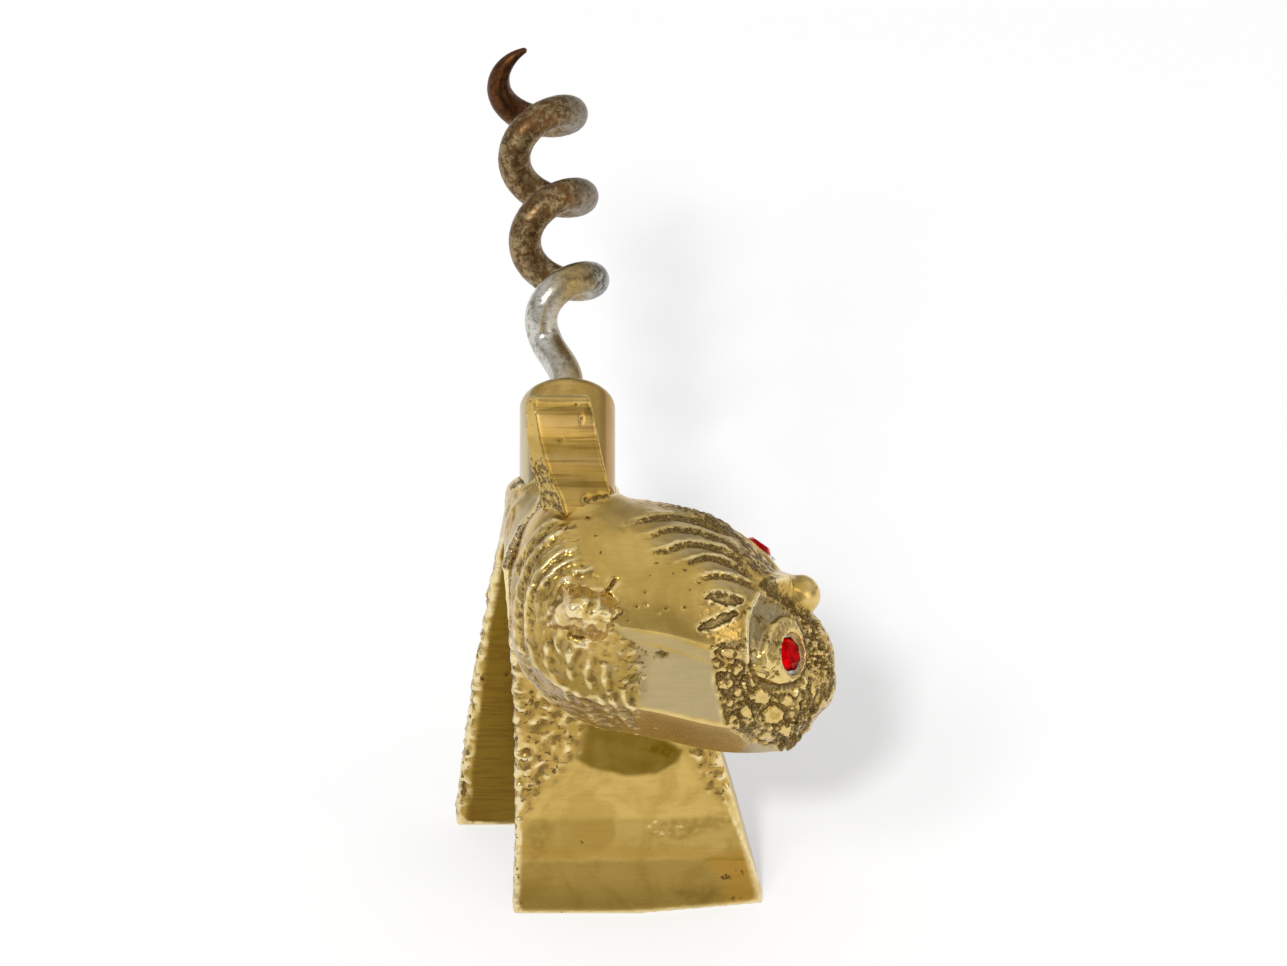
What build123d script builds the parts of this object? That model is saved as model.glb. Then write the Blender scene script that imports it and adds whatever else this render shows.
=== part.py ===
from build123d import *
from math import cos, pi, radians, sin, sqrt
import os

# A direct-pull corkscrew cast in brass as a standing cat-like beast. The beast stands on two wide leg
# plates joined over a finger gap, its head is turned to its side, and a steel worm is its tail.
# Frame: origin at the middle of the front foot's rest face, +Z up, +X the way the face looks,
# +Y from the front legs to the tail. All sizes are in millimetres.

# Legs and back
foot_thickness = 3.0
foot_spacing = 17.25
front_foot_left = -13.5
front_foot_right = 13.6
rear_foot_left = -19.7
rear_foot_right = 6.8
front_waist_left = -13.1
front_waist_right = 8.6
rear_waist_left = -17.6
rear_waist_right = 4.6
back_height = 48.9
back_width = 12.4
back_centre_x = -8.0
back_thickness = 8.4
crotch_radius = 5.05
waist_height_share = 0.399
straight_height_share = 0.704
hollow_height_share = 0.309
front_bend_share = 0.155
leg_hollow = 2.9
leg_hollow_past = 0.25
rear_hollow = 0.65
shoulder_drop = 8.6
shoulder_in_share = 0.35
shoulder_up_share = 0.3
back_turn_across_share = 0.80
back_turn_up_share = 0.60

# Head: a bar whose lower half is cut in flats and whose crown is round
head_length = 34.7
head_left_x = -13.5
head_radius = 12.7
head_drop = 10.6
head_forward = 1.9
crown_edge_angle = 152.0
flat_angle = 45.0
# Along the head from the shoulder to the muzzle: place in the length, then rise of the centre and
# radius in the head's radius
head_section_shares = (
    (0.0, 0.121, 0.30),
    (0.045, 0.136, 0.62),
    (0.12, 0.121, 0.85),
    (0.27, 0.012, 0.985),
    (0.43, -0.060, 1.0),
    (0.62, -0.217, 0.985),
    (0.75, -0.356, 0.89),
    (0.865, -0.528, 0.705),
    (0.95, -0.618, 0.47),
    (1.0, -0.648, 0.16),
)
# Places on the head: share of its length, then shares of its radius across and up
nose_radius = 2.35
nose_shares = (0.890, 0.142, 0.087)

# Tenon of the legs inside the head
tenon_clearance = 0.4
tenon_left_share = 0.0605
tenon_right_share = 0.562
tenon_bottom_share = 1.48
tenon_drop = 3.9
gap_end_share = 0.654

# Ears
ear_length = 12.2
ear_root = 2.6
ear_base_width = 6.5
ear_base_thickness = 5.3
ear_tip_width = 7.6
ear_tip_thickness = 1.9
ear_tip_round = 0.9
ear_lean_shares = (-0.16, 0.39, 0.89)
ear_across_shares = (0.82, 0.57, -0.10)
ear_tip_across_shares = (0.82, 0.53, -0.33)
rear_ear_shares = (0.202, 0.228, 0.937)
front_ear_shares = (0.225, -0.850, 0.575)
front_ear_length = 7.6
front_ear_tip_width = 4.8

# Eyes
stone_radius = 1.95
stone_table_radius = 1.15
stone_culet_radius = 0.25
stone_crown_height = 0.85
stone_pavilion_depth = 1.3
stone_sides = 8
cup_wall = 0.35
cup_floor = 0.3
cup_lip = 0.25
eye_bore = 10.0
front_eye_shares = (0.853, -0.472, -0.102)
rear_eye_shares = (0.761, 0.661, 0.220)
front_eye_way_shares = (0.77, -0.46, 0.45)

# Ferrule
ferrule_radius = 5.15
ferrule_length = 11.1
ferrule_seat = 1.6
ferrule_edge = 1.5
ferrule_shift = 0.5
ferrule_drop = 3.9
ferrule_rise = 24.9

# Worm
wire_radius = 1.76
worm_radius = 3.42
worm_pitch = 11.8
worm_turns = 2.5
worm_rise = 17.7
worm_swing = 6.0
worm_offset = 0.95
worm_lead = 10.3
first_turn_radius = 2.75
shank_depth = 8.0
shank_straight = 1.2
point_turn = 0.71
point_radius = 4.1
point_wire_radius = 0.3
point_slack = 4.3
point_stations = 7
point_taper_power = 3.0
bead_width = 0.9
bead_height = 0.75
bead_round_share = 0.7
# Angles for the worm's tangents and for the measure of its gap, in turns
tangent_turn = 0.001
measure_turn = 1 / 60
half_turn = 1 / 2
quarter_turn = 1 / 4

# One overrun serves every cut that runs through
overrun = 30.0

# Places that follow from the sizes
crotch_height = back_height - back_thickness
crotch_middle_y = leg_hollow + foot_thickness / 2 + crotch_radius
waist_height = back_height * waist_height_share
straight_height = crotch_height * straight_height_share
hollow_height = crotch_height * hollow_height_share
head_height = back_height - head_drop
head_centre_y = crotch_middle_y - crotch_radius - foot_thickness - head_forward
gap_end_x = head_left_x + head_length * gap_end_share


def unit(vector):
    return vector.normalized()


def on_head(place_share, across_share, rise_share):
    """A point at a share of the head's length, and at shares of its radius from its centre line."""
    return Vector(
        head_left_x + head_length * place_share,
        head_centre_y + head_radius * across_share,
        head_height + head_radius * rise_share,
    )


def saddle_side_lines():
    """Side view of the legs and back, as an upside-down U with hollow outer faces."""
    half_foot = foot_thickness / 2
    crotch_y = crotch_middle_y
    crotch_spring = crotch_height - crotch_radius
    front_inner_y = crotch_y - crotch_radius
    rear_inner_y = crotch_y + crotch_radius
    front_outer_y = front_inner_y - foot_thickness
    rear_outer_y = rear_inner_y + foot_thickness
    shoulder_z = back_height - shoulder_drop
    shoulder_in = shoulder_drop * shoulder_in_share
    shoulder_top = back_height - shoulder_drop * shoulder_up_share
    front_foot_outer = (-half_foot, 0)
    front_foot_inner = (half_foot, 0)
    rear_foot_inner = (foot_spacing - half_foot, 0)
    rear_foot_outer = (foot_spacing + half_foot, 0)
    front_hollow = (front_outer_y - leg_hollow_past, hollow_height)
    front_hollow_inner = (front_inner_y - leg_hollow_past, hollow_height)
    rear_hollow_inner = (rear_inner_y + leg_hollow_past, hollow_height)
    ThreePointArc(front_foot_outer, front_hollow, (front_outer_y, straight_height))
    Line((front_outer_y, straight_height), (front_outer_y, shoulder_z))
    ThreePointArc(
        (front_outer_y, shoulder_z), (front_outer_y + shoulder_in, shoulder_top), (crotch_y, back_height)
    )
    ThreePointArc(
        (crotch_y, back_height), (rear_outer_y - shoulder_in, shoulder_top), (rear_outer_y, shoulder_z)
    )
    ThreePointArc((rear_outer_y, shoulder_z), (rear_outer_y - rear_hollow, waist_height), rear_foot_outer)
    Line(rear_foot_outer, rear_foot_inner)
    ThreePointArc(rear_foot_inner, rear_hollow_inner, (rear_inner_y, straight_height))
    Line((rear_inner_y, straight_height), (rear_inner_y, crotch_spring))
    ThreePointArc((rear_inner_y, crotch_spring), (crotch_y, crotch_height), (front_inner_y, crotch_spring))
    Line((front_inner_y, crotch_spring), (front_inner_y, straight_height))
    ThreePointArc((front_inner_y, straight_height), front_hollow_inner, front_foot_inner)
    Line(front_foot_inner, front_foot_outer)


def leg_outline_lines(foot_left, waist_left, waist_right, foot_right):
    """One pair of legs seen from the front, with the round back over it."""
    back_left = back_centre_x - back_width / 2
    back_right = back_centre_x + back_width / 2
    turn_across = back_width / 2 * back_turn_across_share
    turn_z = crotch_height + back_thickness * back_turn_up_share
    top = (back_centre_x, back_height)
    ThreePointArc((foot_left, 0), (waist_left, waist_height), (back_left, crotch_height))
    ThreePointArc((back_left, crotch_height), (back_centre_x - turn_across, turn_z), top)
    ThreePointArc(top, (back_centre_x + turn_across, turn_z), (back_right, crotch_height))
    Polyline((back_right, crotch_height), (waist_right, waist_height), (foot_right, 0), (foot_left, 0))


# The front plate bends back on the right, so its right corner stands further from the front
bend_way = unit(Vector(1, front_bend_share, 0))

with BuildPart() as front_legs:
    with BuildSketch(Plane.YZ):
        with BuildLine():
            saddle_side_lines()
        make_face()
    extrude(amount=-overrun)
    with BuildSketch(Plane.YZ):
        with BuildLine():
            saddle_side_lines()
        make_face()
    extrude(amount=overrun, dir=bend_way)
    with BuildSketch(Plane.XZ.offset(overrun)):
        with BuildLine():
            leg_outline_lines(front_foot_left, front_waist_left, front_waist_right, front_foot_right)
        make_face()
    extrude(amount=-2 * overrun, mode=Mode.INTERSECT)
    split(bisect_by=Plane.XZ.offset(-crotch_middle_y), keep=Keep.TOP)

with BuildPart() as rear_legs:
    with BuildSketch(Plane.YZ.offset(-overrun)):
        with BuildLine():
            saddle_side_lines()
        make_face()
    extrude(amount=2 * overrun)
    with BuildSketch(Plane.XZ.offset(overrun)):
        with BuildLine():
            leg_outline_lines(rear_foot_left, rear_waist_left, rear_waist_right, rear_foot_right)
        make_face()
    extrude(amount=-2 * overrun, mode=Mode.INTERSECT)
    split(bisect_by=Plane.XZ.offset(-crotch_middle_y), keep=Keep.BOTTOM)

# The space between the legs, as far as the head's free end
with BuildPart() as finger_gap:
    with BuildSketch(Plane.YZ.offset(-overrun)):
        with BuildLine():
            Polyline(
                (crotch_middle_y - crotch_radius, 0),
                (crotch_middle_y - crotch_radius, crotch_height - crotch_radius),
            )
            ThreePointArc(
                (crotch_middle_y - crotch_radius, crotch_height - crotch_radius),
                (crotch_middle_y, crotch_height),
                (crotch_middle_y + crotch_radius, crotch_height - crotch_radius),
            )
            Polyline(
                (crotch_middle_y + crotch_radius, crotch_height - crotch_radius),
                (crotch_middle_y + crotch_radius, 0),
                (crotch_middle_y - crotch_radius, 0),
            )
        make_face()
    extrude(amount=overrun + gap_end_x)


def head_plane(place_share, rise_share):
    return Plane(origin=on_head(place_share, 0, rise_share), x_dir=(0, 1, 0), z_dir=(1, 0, 0))


def head_section_lines(radius):
    """Round over the crown, with four flats below."""
    corners = []
    for step in range(5):
        angle = radians(crown_edge_angle + flat_angle * step)
        corners.append((radius * cos(angle), radius * sin(angle)))
    top = radians(crown_edge_angle - 2 * flat_angle)
    near = radians(crown_edge_angle - flat_angle)
    far = radians(crown_edge_angle - 3 * flat_angle)
    Polyline(*corners)
    ThreePointArc(
        corners[-1], (radius * cos(far), radius * sin(far)), (radius * cos(top), radius * sin(top))
    )
    ThreePointArc(
        (radius * cos(top), radius * sin(top)), (radius * cos(near), radius * sin(near)), corners[0]
    )


with BuildPart() as head_blank:
    for place_share, rise_share, radius_share in head_section_shares:
        with BuildSketch(head_plane(place_share, rise_share)):
            with BuildLine():
                head_section_lines(head_radius * radius_share)
            make_face()
    loft()
    add(finger_gap.part, mode=Mode.SUBTRACT)

tenon_left = head_left_x + head_length * tenon_left_share
tenon_right = head_left_x + head_length * tenon_right_share
tenon_front = head_centre_y - tenon_clearance
tenon_back = head_centre_y + head_radius + tenon_clearance
tenon_bottom = head_height - head_radius * tenon_bottom_share
tenon_top = back_height - tenon_drop

with BuildPart() as neck_tenon:
    with BuildSketch(Plane.XY.offset(tenon_bottom)):
        with BuildLine():
            Polyline(
                (tenon_left, tenon_front),
                (tenon_right, tenon_front),
                (tenon_right, tenon_back),
                (tenon_left, tenon_back),
                (tenon_left, tenon_front),
            )
        make_face()
    extrude(amount=tenon_top - tenon_bottom)

with BuildPart() as head_round_tenon:
    add(head_blank.part)
    add(neck_tenon.part, mode=Mode.SUBTRACT)

ferrule_way = Vector(0, cos(radians(ferrule_rise)), sin(radians(ferrule_rise)))
ferrule_seat_point = Vector(
    back_centre_x + ferrule_shift, crotch_middle_y + crotch_radius, back_height - ferrule_drop
)
ferrule_base = ferrule_seat_point - ferrule_way * ferrule_seat
ferrule_end = ferrule_seat_point + ferrule_way * ferrule_length

with BuildPart() as ferrule_blank:
    with BuildSketch(Plane(origin=ferrule_base, x_dir=(1, 0, 0), z_dir=ferrule_way)):
        Circle(ferrule_radius)
    extrude(amount=ferrule_length + ferrule_seat)
    end_edge = edges().filter_by(GeomType.CIRCLE).sort_by(Axis(ferrule_base, ferrule_way))[-1]
    fillet(end_edge, radius=ferrule_edge)

with BuildPart() as leg_arch:
    add(front_legs.part)
    add(rear_legs.part)
    add(head_round_tenon.part, mode=Mode.SUBTRACT)
    add(ferrule_blank.part, mode=Mode.SUBTRACT)

with BuildPart() as worm_ferrule:
    add(ferrule_blank.part)
    with BuildSketch(Plane(origin=ferrule_end, x_dir=(1, 0, 0), z_dir=ferrule_way)):
        Circle(wire_radius)
    extrude(amount=-shank_depth, mode=Mode.SUBTRACT)

front_eye = on_head(*front_eye_shares)
rear_eye = on_head(*rear_eye_shares)
# The face is alike on both sides of a plane halfway between the eyes
eye_line = unit(rear_eye - front_eye)
front_eye_way = unit(Vector(*front_eye_way_shares))
rear_eye_way = front_eye_way - eye_line * (2 * front_eye_way.dot(eye_line))
front_eye_plane = Plane(origin=front_eye, z_dir=front_eye_way)
rear_eye_plane = Plane(origin=rear_eye, z_dir=rear_eye_way)
cup_radius = stone_radius + cup_wall
cup_depth = stone_pavilion_depth + cup_floor


def eye_stone(plane):
    """A cut stone: a flat table, eight crown facets and a point behind."""
    with BuildPart() as stone:
        with BuildSketch(plane.offset(-stone_pavilion_depth)):
            RegularPolygon(stone_culet_radius, stone_sides)
        with BuildSketch(plane):
            RegularPolygon(stone_radius, stone_sides)
        with BuildSketch(plane.offset(stone_crown_height)):
            RegularPolygon(stone_table_radius, stone_sides)
        loft(ruled=True)
    return stone


def eye_cup(plane, stone):
    """A thin cup whose inside is the back of its stone."""
    with BuildPart() as cup:
        with BuildSketch(plane.offset(-cup_depth)):
            Circle(cup_radius)
        extrude(amount=cup_depth + cup_lip)
        with BuildSketch(plane):
            RegularPolygon(stone_radius, stone_sides)
        extrude(amount=eye_bore, mode=Mode.SUBTRACT)
        add(stone.part, mode=Mode.SUBTRACT)
    return cup


front_eye_stone = eye_stone(front_eye_plane)
rear_eye_stone = eye_stone(rear_eye_plane)
front_eye_cup = eye_cup(front_eye_plane, front_eye_stone)
rear_eye_cup = eye_cup(rear_eye_plane, rear_eye_stone)

with BuildPart() as head:
    add(head_blank.part)
    with Locations(on_head(*nose_shares)):
        Sphere(nose_radius)
    add(leg_arch.part, mode=Mode.SUBTRACT)
    for eye_plane in (front_eye_plane, rear_eye_plane):
        with BuildSketch(eye_plane.offset(-cup_depth)):
            Circle(cup_radius)
        extrude(amount=eye_bore, mode=Mode.SUBTRACT)


def ear(root, lean, across, tip_across, length, tip_width):
    """A strap that is thick at its root and thin and rounded at its tip, and fits what it stands on."""
    tip_way = unit(lean - tip_across * lean.dot(tip_across))
    with BuildPart() as strap:
        with BuildSketch(Plane(origin=root - lean * ear_root, x_dir=across, z_dir=lean)):
            Rectangle(ear_base_width, ear_base_thickness)
        with BuildSketch(Plane(origin=root + lean * length, x_dir=tip_across, z_dir=tip_way)):
            Rectangle(tip_width, ear_tip_thickness)
        loft()
        tip_face = faces().sort_by(Axis(root, lean))[-1]
        fillet(tip_face.edges().filter_by(Axis((0, 0, 0), tip_across)), radius=ear_tip_round)
        add(head_blank.part, mode=Mode.SUBTRACT)
        add(leg_arch.part, mode=Mode.SUBTRACT)
    return strap


rear_ear_root = on_head(*rear_ear_shares)
rear_ear_lean = unit(Vector(*ear_lean_shares))
rear_ear_across = unit(Vector(*ear_across_shares))
rear_ear_across = unit(rear_ear_across - rear_ear_lean * rear_ear_across.dot(rear_ear_lean))
rear_tip_across = unit(Vector(*ear_tip_across_shares))
front_ear_root = on_head(*front_ear_shares)
front_ear_lean = rear_ear_lean - eye_line * (2 * rear_ear_lean.dot(eye_line))
front_ear_across = rear_ear_across - eye_line * (2 * rear_ear_across.dot(eye_line))
front_tip_across = rear_tip_across - eye_line * (2 * rear_tip_across.dot(eye_line))

rear_ear = ear(rear_ear_root, rear_ear_lean, rear_ear_across, rear_tip_across, ear_length, ear_tip_width)
front_ear = ear(
    front_ear_root, front_ear_lean, front_ear_across, front_tip_across, front_ear_length, front_ear_tip_width
)

# Worm: the axis rises less than the ferrule's and swings a little to the left
worm_way = Vector(
    -sin(radians(worm_swing)) * cos(radians(worm_rise)),
    cos(radians(worm_swing)) * cos(radians(worm_rise)),
    sin(radians(worm_rise)),
)
worm_start = ferrule_end + Vector(worm_offset, 0, 0)
worm_side = unit(Vector(1, 0, 0) - worm_way * worm_way.X)
worm_drop = worm_way.cross(worm_side)


def worm_place(turn):
    """Distance along the axis and distance from it, for a turn counted from the first right-hand bulge."""
    along = worm_lead + worm_pitch * (turn + half_turn)
    radius = worm_radius
    if turn < 0:
        radius = worm_radius - (worm_radius - first_turn_radius) * (turn / half_turn) ** 2
    past = turn - (worm_turns - half_turn)
    if past > 0:
        along -= point_slack * past * past
        radius = worm_radius + (point_radius - worm_radius) * sin(min(past, half_turn) * pi)
    return along, radius


def worm_point(turn):
    along, radius = worm_place(turn)
    angle = 2 * pi * turn
    place = worm_start + worm_way * along
    return place + worm_side * (radius * cos(angle)) + worm_drop * (radius * sin(angle))


def worm_tangent(turn):
    return unit(worm_point(turn + tangent_turn) - worm_point(turn - tangent_turn))


def arc_pair(start, start_way, end, end_way):
    """Two arcs that leave the start and reach the end along the given ways."""
    span = end - start
    both = start_way + end_way
    spread = 2 * (1 - start_way.dot(end_way))
    reach = (sqrt(span.dot(both) ** 2 + spread * span.dot(span)) - span.dot(both)) / spread
    middle = (start + start_way * reach + end - end_way * reach) / 2
    chord = unit(middle - start)
    middle_way = chord * (2 * start_way.dot(chord)) - start_way
    TangentArc(start, middle, tangent=start_way)
    TangentArc(middle, end, tangent=middle_way)


first_turn = -half_turn
quarters = round(worm_turns / quarter_turn)
shank_start = ferrule_end - ferrule_way * shank_depth
shank_end = ferrule_end + ferrule_way * shank_straight
last_turn = first_turn + quarters * quarter_turn

with BuildPart() as corkscrew_worm:
    with BuildLine() as worm_path:
        Line(shank_start, shank_end)
        arc_pair(shank_end, ferrule_way, worm_point(first_turn), worm_tangent(first_turn))
        for quarter in range(quarters):
            turn = first_turn + quarter * quarter_turn
            next_turn = turn + quarter_turn
            arc_pair(worm_point(turn), worm_tangent(turn), worm_point(next_turn), worm_tangent(next_turn))
    with BuildSketch(Plane(origin=shank_start, z_dir=ferrule_way)):
        Circle(wire_radius)
    sweep()
    for station in range(point_stations + 1):
        share = station / point_stations
        turn = last_turn + point_turn * share
        taper = wire_radius - (wire_radius - point_wire_radius) * share**point_taper_power
        with BuildSketch(Plane(origin=worm_point(turn), z_dir=worm_tangent(turn))):
            Circle(taper)
    loft()

with BuildPart() as worm_braze:
    bead_plane = Plane(origin=ferrule_end, x_dir=(1, 0, 0), z_dir=ferrule_way)
    with BuildSketch(Plane(origin=ferrule_end, x_dir=(1, 0, 0), z_dir=bead_plane.y_dir * -1)):
        with BuildLine():
            Line((wire_radius, 0), (wire_radius + bead_width, 0))
            ThreePointArc(
                (wire_radius + bead_width, 0),
                (wire_radius + bead_width / 2, bead_height * bead_round_share),
                (wire_radius, bead_height),
            )
            Line((wire_radius, bead_height), (wire_radius, 0))
        make_face()
    revolve(axis=Axis(ferrule_end, ferrule_way))

pieces = {
    "leg_arch": leg_arch,
    "head": head,
    "rear_ear": rear_ear,
    "front_ear": front_ear,
    "front_eye_stone": front_eye_stone,
    "rear_eye_stone": rear_eye_stone,
    "front_eye_cup": front_eye_cup,
    "rear_eye_cup": rear_eye_cup,
    "worm_ferrule": worm_ferrule,
    "corkscrew_worm": corkscrew_worm,
    "worm_braze": worm_braze,
}
os.makedirs("parts", exist_ok=True)
for name, piece in pieces.items():
    piece.part.label = name
    export_step(piece.part, f"parts/{name}.step")
    print(name, "solids", len(piece.part.solids()), "volume", round(piece.part.volume, 1))

# The worm's turns stay clear of each other
turn_count = round((last_turn + point_turn - first_turn) / measure_turn)
turn_points = [worm_point(first_turn + measure_turn * index) for index in range(turn_count)]
least = min(
    (turn_points[i] - turn_points[j]).length
    for i in range(turn_count)
    for j in range(i + round(half_turn / measure_turn), turn_count)
)
print("worm gap to itself", round(least - 2 * wire_radius, 2))
print("worm wire length", round(worm_path.wires()[0].length, 1))
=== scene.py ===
"""A cast brass corkscrew shaped as a standing cat-like beast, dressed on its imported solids. Metres, +Z up."""

import functools
import math

import bmesh
import bpy
import numpy as np
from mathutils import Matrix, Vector, noise
from mathutils.bvhtree import BVHTree


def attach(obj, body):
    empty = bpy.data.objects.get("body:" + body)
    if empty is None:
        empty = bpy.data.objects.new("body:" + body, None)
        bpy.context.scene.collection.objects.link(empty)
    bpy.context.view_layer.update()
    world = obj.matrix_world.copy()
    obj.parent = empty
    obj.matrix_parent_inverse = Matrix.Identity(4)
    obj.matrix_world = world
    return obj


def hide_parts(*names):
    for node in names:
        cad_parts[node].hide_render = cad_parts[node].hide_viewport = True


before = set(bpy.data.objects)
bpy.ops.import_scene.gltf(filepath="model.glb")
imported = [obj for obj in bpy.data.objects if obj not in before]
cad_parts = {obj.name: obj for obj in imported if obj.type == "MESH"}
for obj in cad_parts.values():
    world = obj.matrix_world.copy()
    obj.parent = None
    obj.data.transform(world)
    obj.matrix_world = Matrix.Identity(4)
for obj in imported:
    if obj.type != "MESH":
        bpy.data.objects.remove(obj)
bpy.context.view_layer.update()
MM = 0.001
MM_PER_METRE = 1000.0


def unit(vector):
    return np.asarray(vector, float) / np.linalg.norm(vector)


# The photograph's camera: azimuth 0, 33 degrees up, 9.3 pixels to a millimetre
PIXELS_PER_MM = 9.3
VIEW_RISE = math.radians(33.0)
ORIGIN_PIXEL = (637.0, 917.0)
ORIGIN_Y_MM = -1.5
TO_CAMERA = np.array([0.0, -math.cos(VIEW_RISE), math.sin(VIEW_RISE)])
IMAGE_UP = np.array([0.0, math.sin(VIEW_RISE), math.cos(VIEW_RISE)])
IMAGE_CENTRE = (643.5, 483.0)
IMAGE_WIDTH = 1287.0
SENSOR_WIDTH = 36.0
CAMERA_DISTANCE = 3.0
CAMERA_CLIP = (0.1, 100.0)
TARGET_Y_MM = 12.0

# The lights, in metres: name, way from the beast, distance, width and height, power and colour
LIT_PLACE = Vector((0.0, 0.012, 0.035))
SOFT_LIGHTS = (
    ("key", (-0.50, -0.85, 0.95), 0.6, (0.12, 0.12), 1.0, (1.0, 1.0, 1.0)),
    ("fill", (0.9, -0.6, 0.35), 0.7, (0.30, 0.40), 0.5, (1.0, 0.93, 0.82)),
)
WINDOW_WAY = (-0.17, -0.80, 0.70)
WINDOW_POWER = 2.6
WINDOW_ANGLE = math.radians(7.0)
WHITE = (1.0, 1.0, 1.0)
ROOM_LOW = (0.50, 0.49, 0.47)
ROOM_HIGH = (0.86, 0.86, 0.87)
ROOM_DARK = (0.24, 0.23, 0.21)
FLOOR_HALF_MM = 12000.0
FLOOR_GREY = (0.42, 0.42, 0.42)
FLOOR_GLOW = 0.41

# The plane about which the face is alike on both sides, in millimetres
FACE_POINT = np.array([14.5, 0.7, 39.2])
FACE_ACROSS = unit([-0.209, 0.941, 0.268])
# The legs are alike on both sides of this y, in millimetres
LEGS_MIDDLE_Y = 9.45
FRONT_EYE = np.array([16.1, -6.5, 37.0])
REAR_EYE = np.array([12.9, 7.9, 41.1])
# How fine each carved copy is, in millimetres
HEAD_VOXEL, LEGS_VOXEL, EAR_VOXEL = 0.18, 0.23, 0.14
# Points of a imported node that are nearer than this, in metres, become one
WELD = 1e-6
# How deep a place lies, in millimetres, where its hollow value is 1
HEAD_HOLLOW, LEGS_HOLLOW, EAR_HOLLOW = 0.05, 0.06, 0.12
ANY_HEIGHT = 1e9


# Objects, camera, light and floor

def place_object(name, data, way=None, face="Z"):
    """A new object in the scene; with a way, its face axis looks along it."""
    obj = bpy.data.objects.new(name, data)
    bpy.context.scene.collection.objects.link(obj)
    if way is not None:
        obj.rotation_mode = "QUATERNION"
        obj.rotation_quaternion = way.to_track_quat(face, "Y")
    return obj


def mesh_object(name, vertices, faces):
    """A new object from points in millimetres."""
    mesh = bpy.data.meshes.new(name)
    mesh.from_pydata((np.array(vertices) * MM).tolist(), [], faces)
    return place_object(name, mesh)


def make_camera():
    data = bpy.data.cameras.new("camera")
    data.sensor_width = SENSOR_WIDTH
    data.lens = SENSOR_WIDTH * CAMERA_DISTANCE / (IMAGE_WIDTH / PIXELS_PER_MM * MM)
    data.clip_start, data.clip_end = CAMERA_CLIP
    centre_x = (IMAGE_CENTRE[0] - ORIGIN_PIXEL[0]) / PIXELS_PER_MM
    centre_up = (ORIGIN_PIXEL[1] - IMAGE_CENTRE[1]) / PIXELS_PER_MM
    target_z = (centre_up - IMAGE_UP[1] * (TARGET_Y_MM - ORIGIN_Y_MM)) / IMAGE_UP[2]
    back = Vector(TO_CAMERA)
    obj = place_object("camera", data, -back, "-Z")
    obj.location = Vector((centre_x, TARGET_Y_MM, target_z)) * MM + back * CAMERA_DISTANCE
    bpy.context.scene.camera = obj


def make_lights():
    for name, way, distance, size, power, colour in SOFT_LIGHTS:
        data = bpy.data.lights.new(name, "AREA")
        data.shape = "RECTANGLE"
        data.size, data.size_y = size
        data.energy = power
        data.color = colour
        way = Vector(way).normalized()
        obj = place_object(name, data, way)
        obj.location = LIT_PLACE + way * distance
    sun = bpy.data.lights.new("window", "SUN")
    sun.energy = WINDOW_POWER
    sun.angle = WINDOW_ANGLE
    obj = place_object("window", sun, Vector(WINDOW_WAY).normalized())
    # The window throws the shadow, and the metal shows the soft lights alone
    obj.visible_glossy = False


class Nodes:
    """Short ways to write a shader's nodes."""

    def __init__(self, tree):
        self.tree = tree
        tree.nodes.clear()

    def add(self, kind, inputs, **values):
        """The outputs of a new node, whose inputs are set or linked by name or number."""
        node = self.tree.nodes.new("ShaderNode" + kind)
        for key, value in values.items():
            setattr(node, key, value)
        for key, value in inputs.items():
            socket = node.inputs[key]
            if isinstance(value, bpy.types.NodeSocket):
                self.tree.links.new(value, socket)
            else:
                socket.default_value = (*value, 1.0) if socket.type == "RGBA" else value
        return node.outputs

    def maths(self, operation, a, b, clamp=False):
        return self.add("Math", {0: a, 1: b}, operation=operation, use_clamp=clamp)[0]

    def times(self, a, b):
        return self.maths("MULTIPLY", a, b)

    def plus(self, a, b, clamp=False):
        return self.maths("ADD", a, b, clamp)

    def minus(self, a, b):
        return self.maths("SUBTRACT", a, b)

    def most(self, a, b):
        return self.maths("MAXIMUM", a, b)

    def about_zero(self, value, size):
        """Noise about a half, brought to lie about 0."""
        return self.times(self.minus(value, 0.5), size)

    def noise(self, vector, scale, detail=2.0, roughness=0.5, distortion=0.0):
        inputs = dict(Vector=vector, Scale=scale, Detail=detail, Roughness=roughness, Distortion=distortion)
        return self.add("TexNoise", inputs)[0]

    def voronoi(self, vector, scale):
        return self.add("TexVoronoi", dict(Vector=vector, Scale=scale))[0]

    def spread(self, value, low, high, to_low=0.0, to_high=1.0):
        inputs = {0: value, 1: low, 2: high, 3: to_low, 4: to_high}
        return self.add("MapRange", inputs, interpolation_type="SMOOTHSTEP")[0]

    def mix(self, factor, a, b):
        return self.add("Mix", {0: factor, 6: a, 7: b}, data_type="RGBA")[2]

    def attribute(self, name):
        return self.add("Attribute", {}, attribute_name=name)["Fac"]

    def place(self, scale=(1.0, 1.0, 1.0), turn=0.0):
        """Object places in millimetres, scaled along axes that can be turned about x."""
        place = self.add("TexCoord", {})["Object"]
        scale = tuple(MM_PER_METRE * v for v in scale)
        if not turn:
            return self.add("Mapping", dict(Vector=place, Scale=scale))[0]
        inputs = dict(Vector=place, Rotation=(turn, 0.0, 0.0), Scale=tuple(1 / v for v in scale))
        return self.add("Mapping", inputs, vector_type="TEXTURE")[0]

    def bump(self, height, distance, strength):
        return self.add("Bump", dict(Height=height, Distance=distance, Strength=strength))[0]

    def finish(self, base, roughness, normal):
        inputs = dict(Metallic=1.0, Roughness=roughness, Normal=normal)
        inputs["Base Color"] = base
        self.add("OutputMaterial", dict(Surface=self.add("BsdfPrincipled", inputs)[0]))


def new_material(name):
    material = bpy.data.materials.new(name)
    material.use_nodes = True
    return material, Nodes(material.node_tree)


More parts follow.
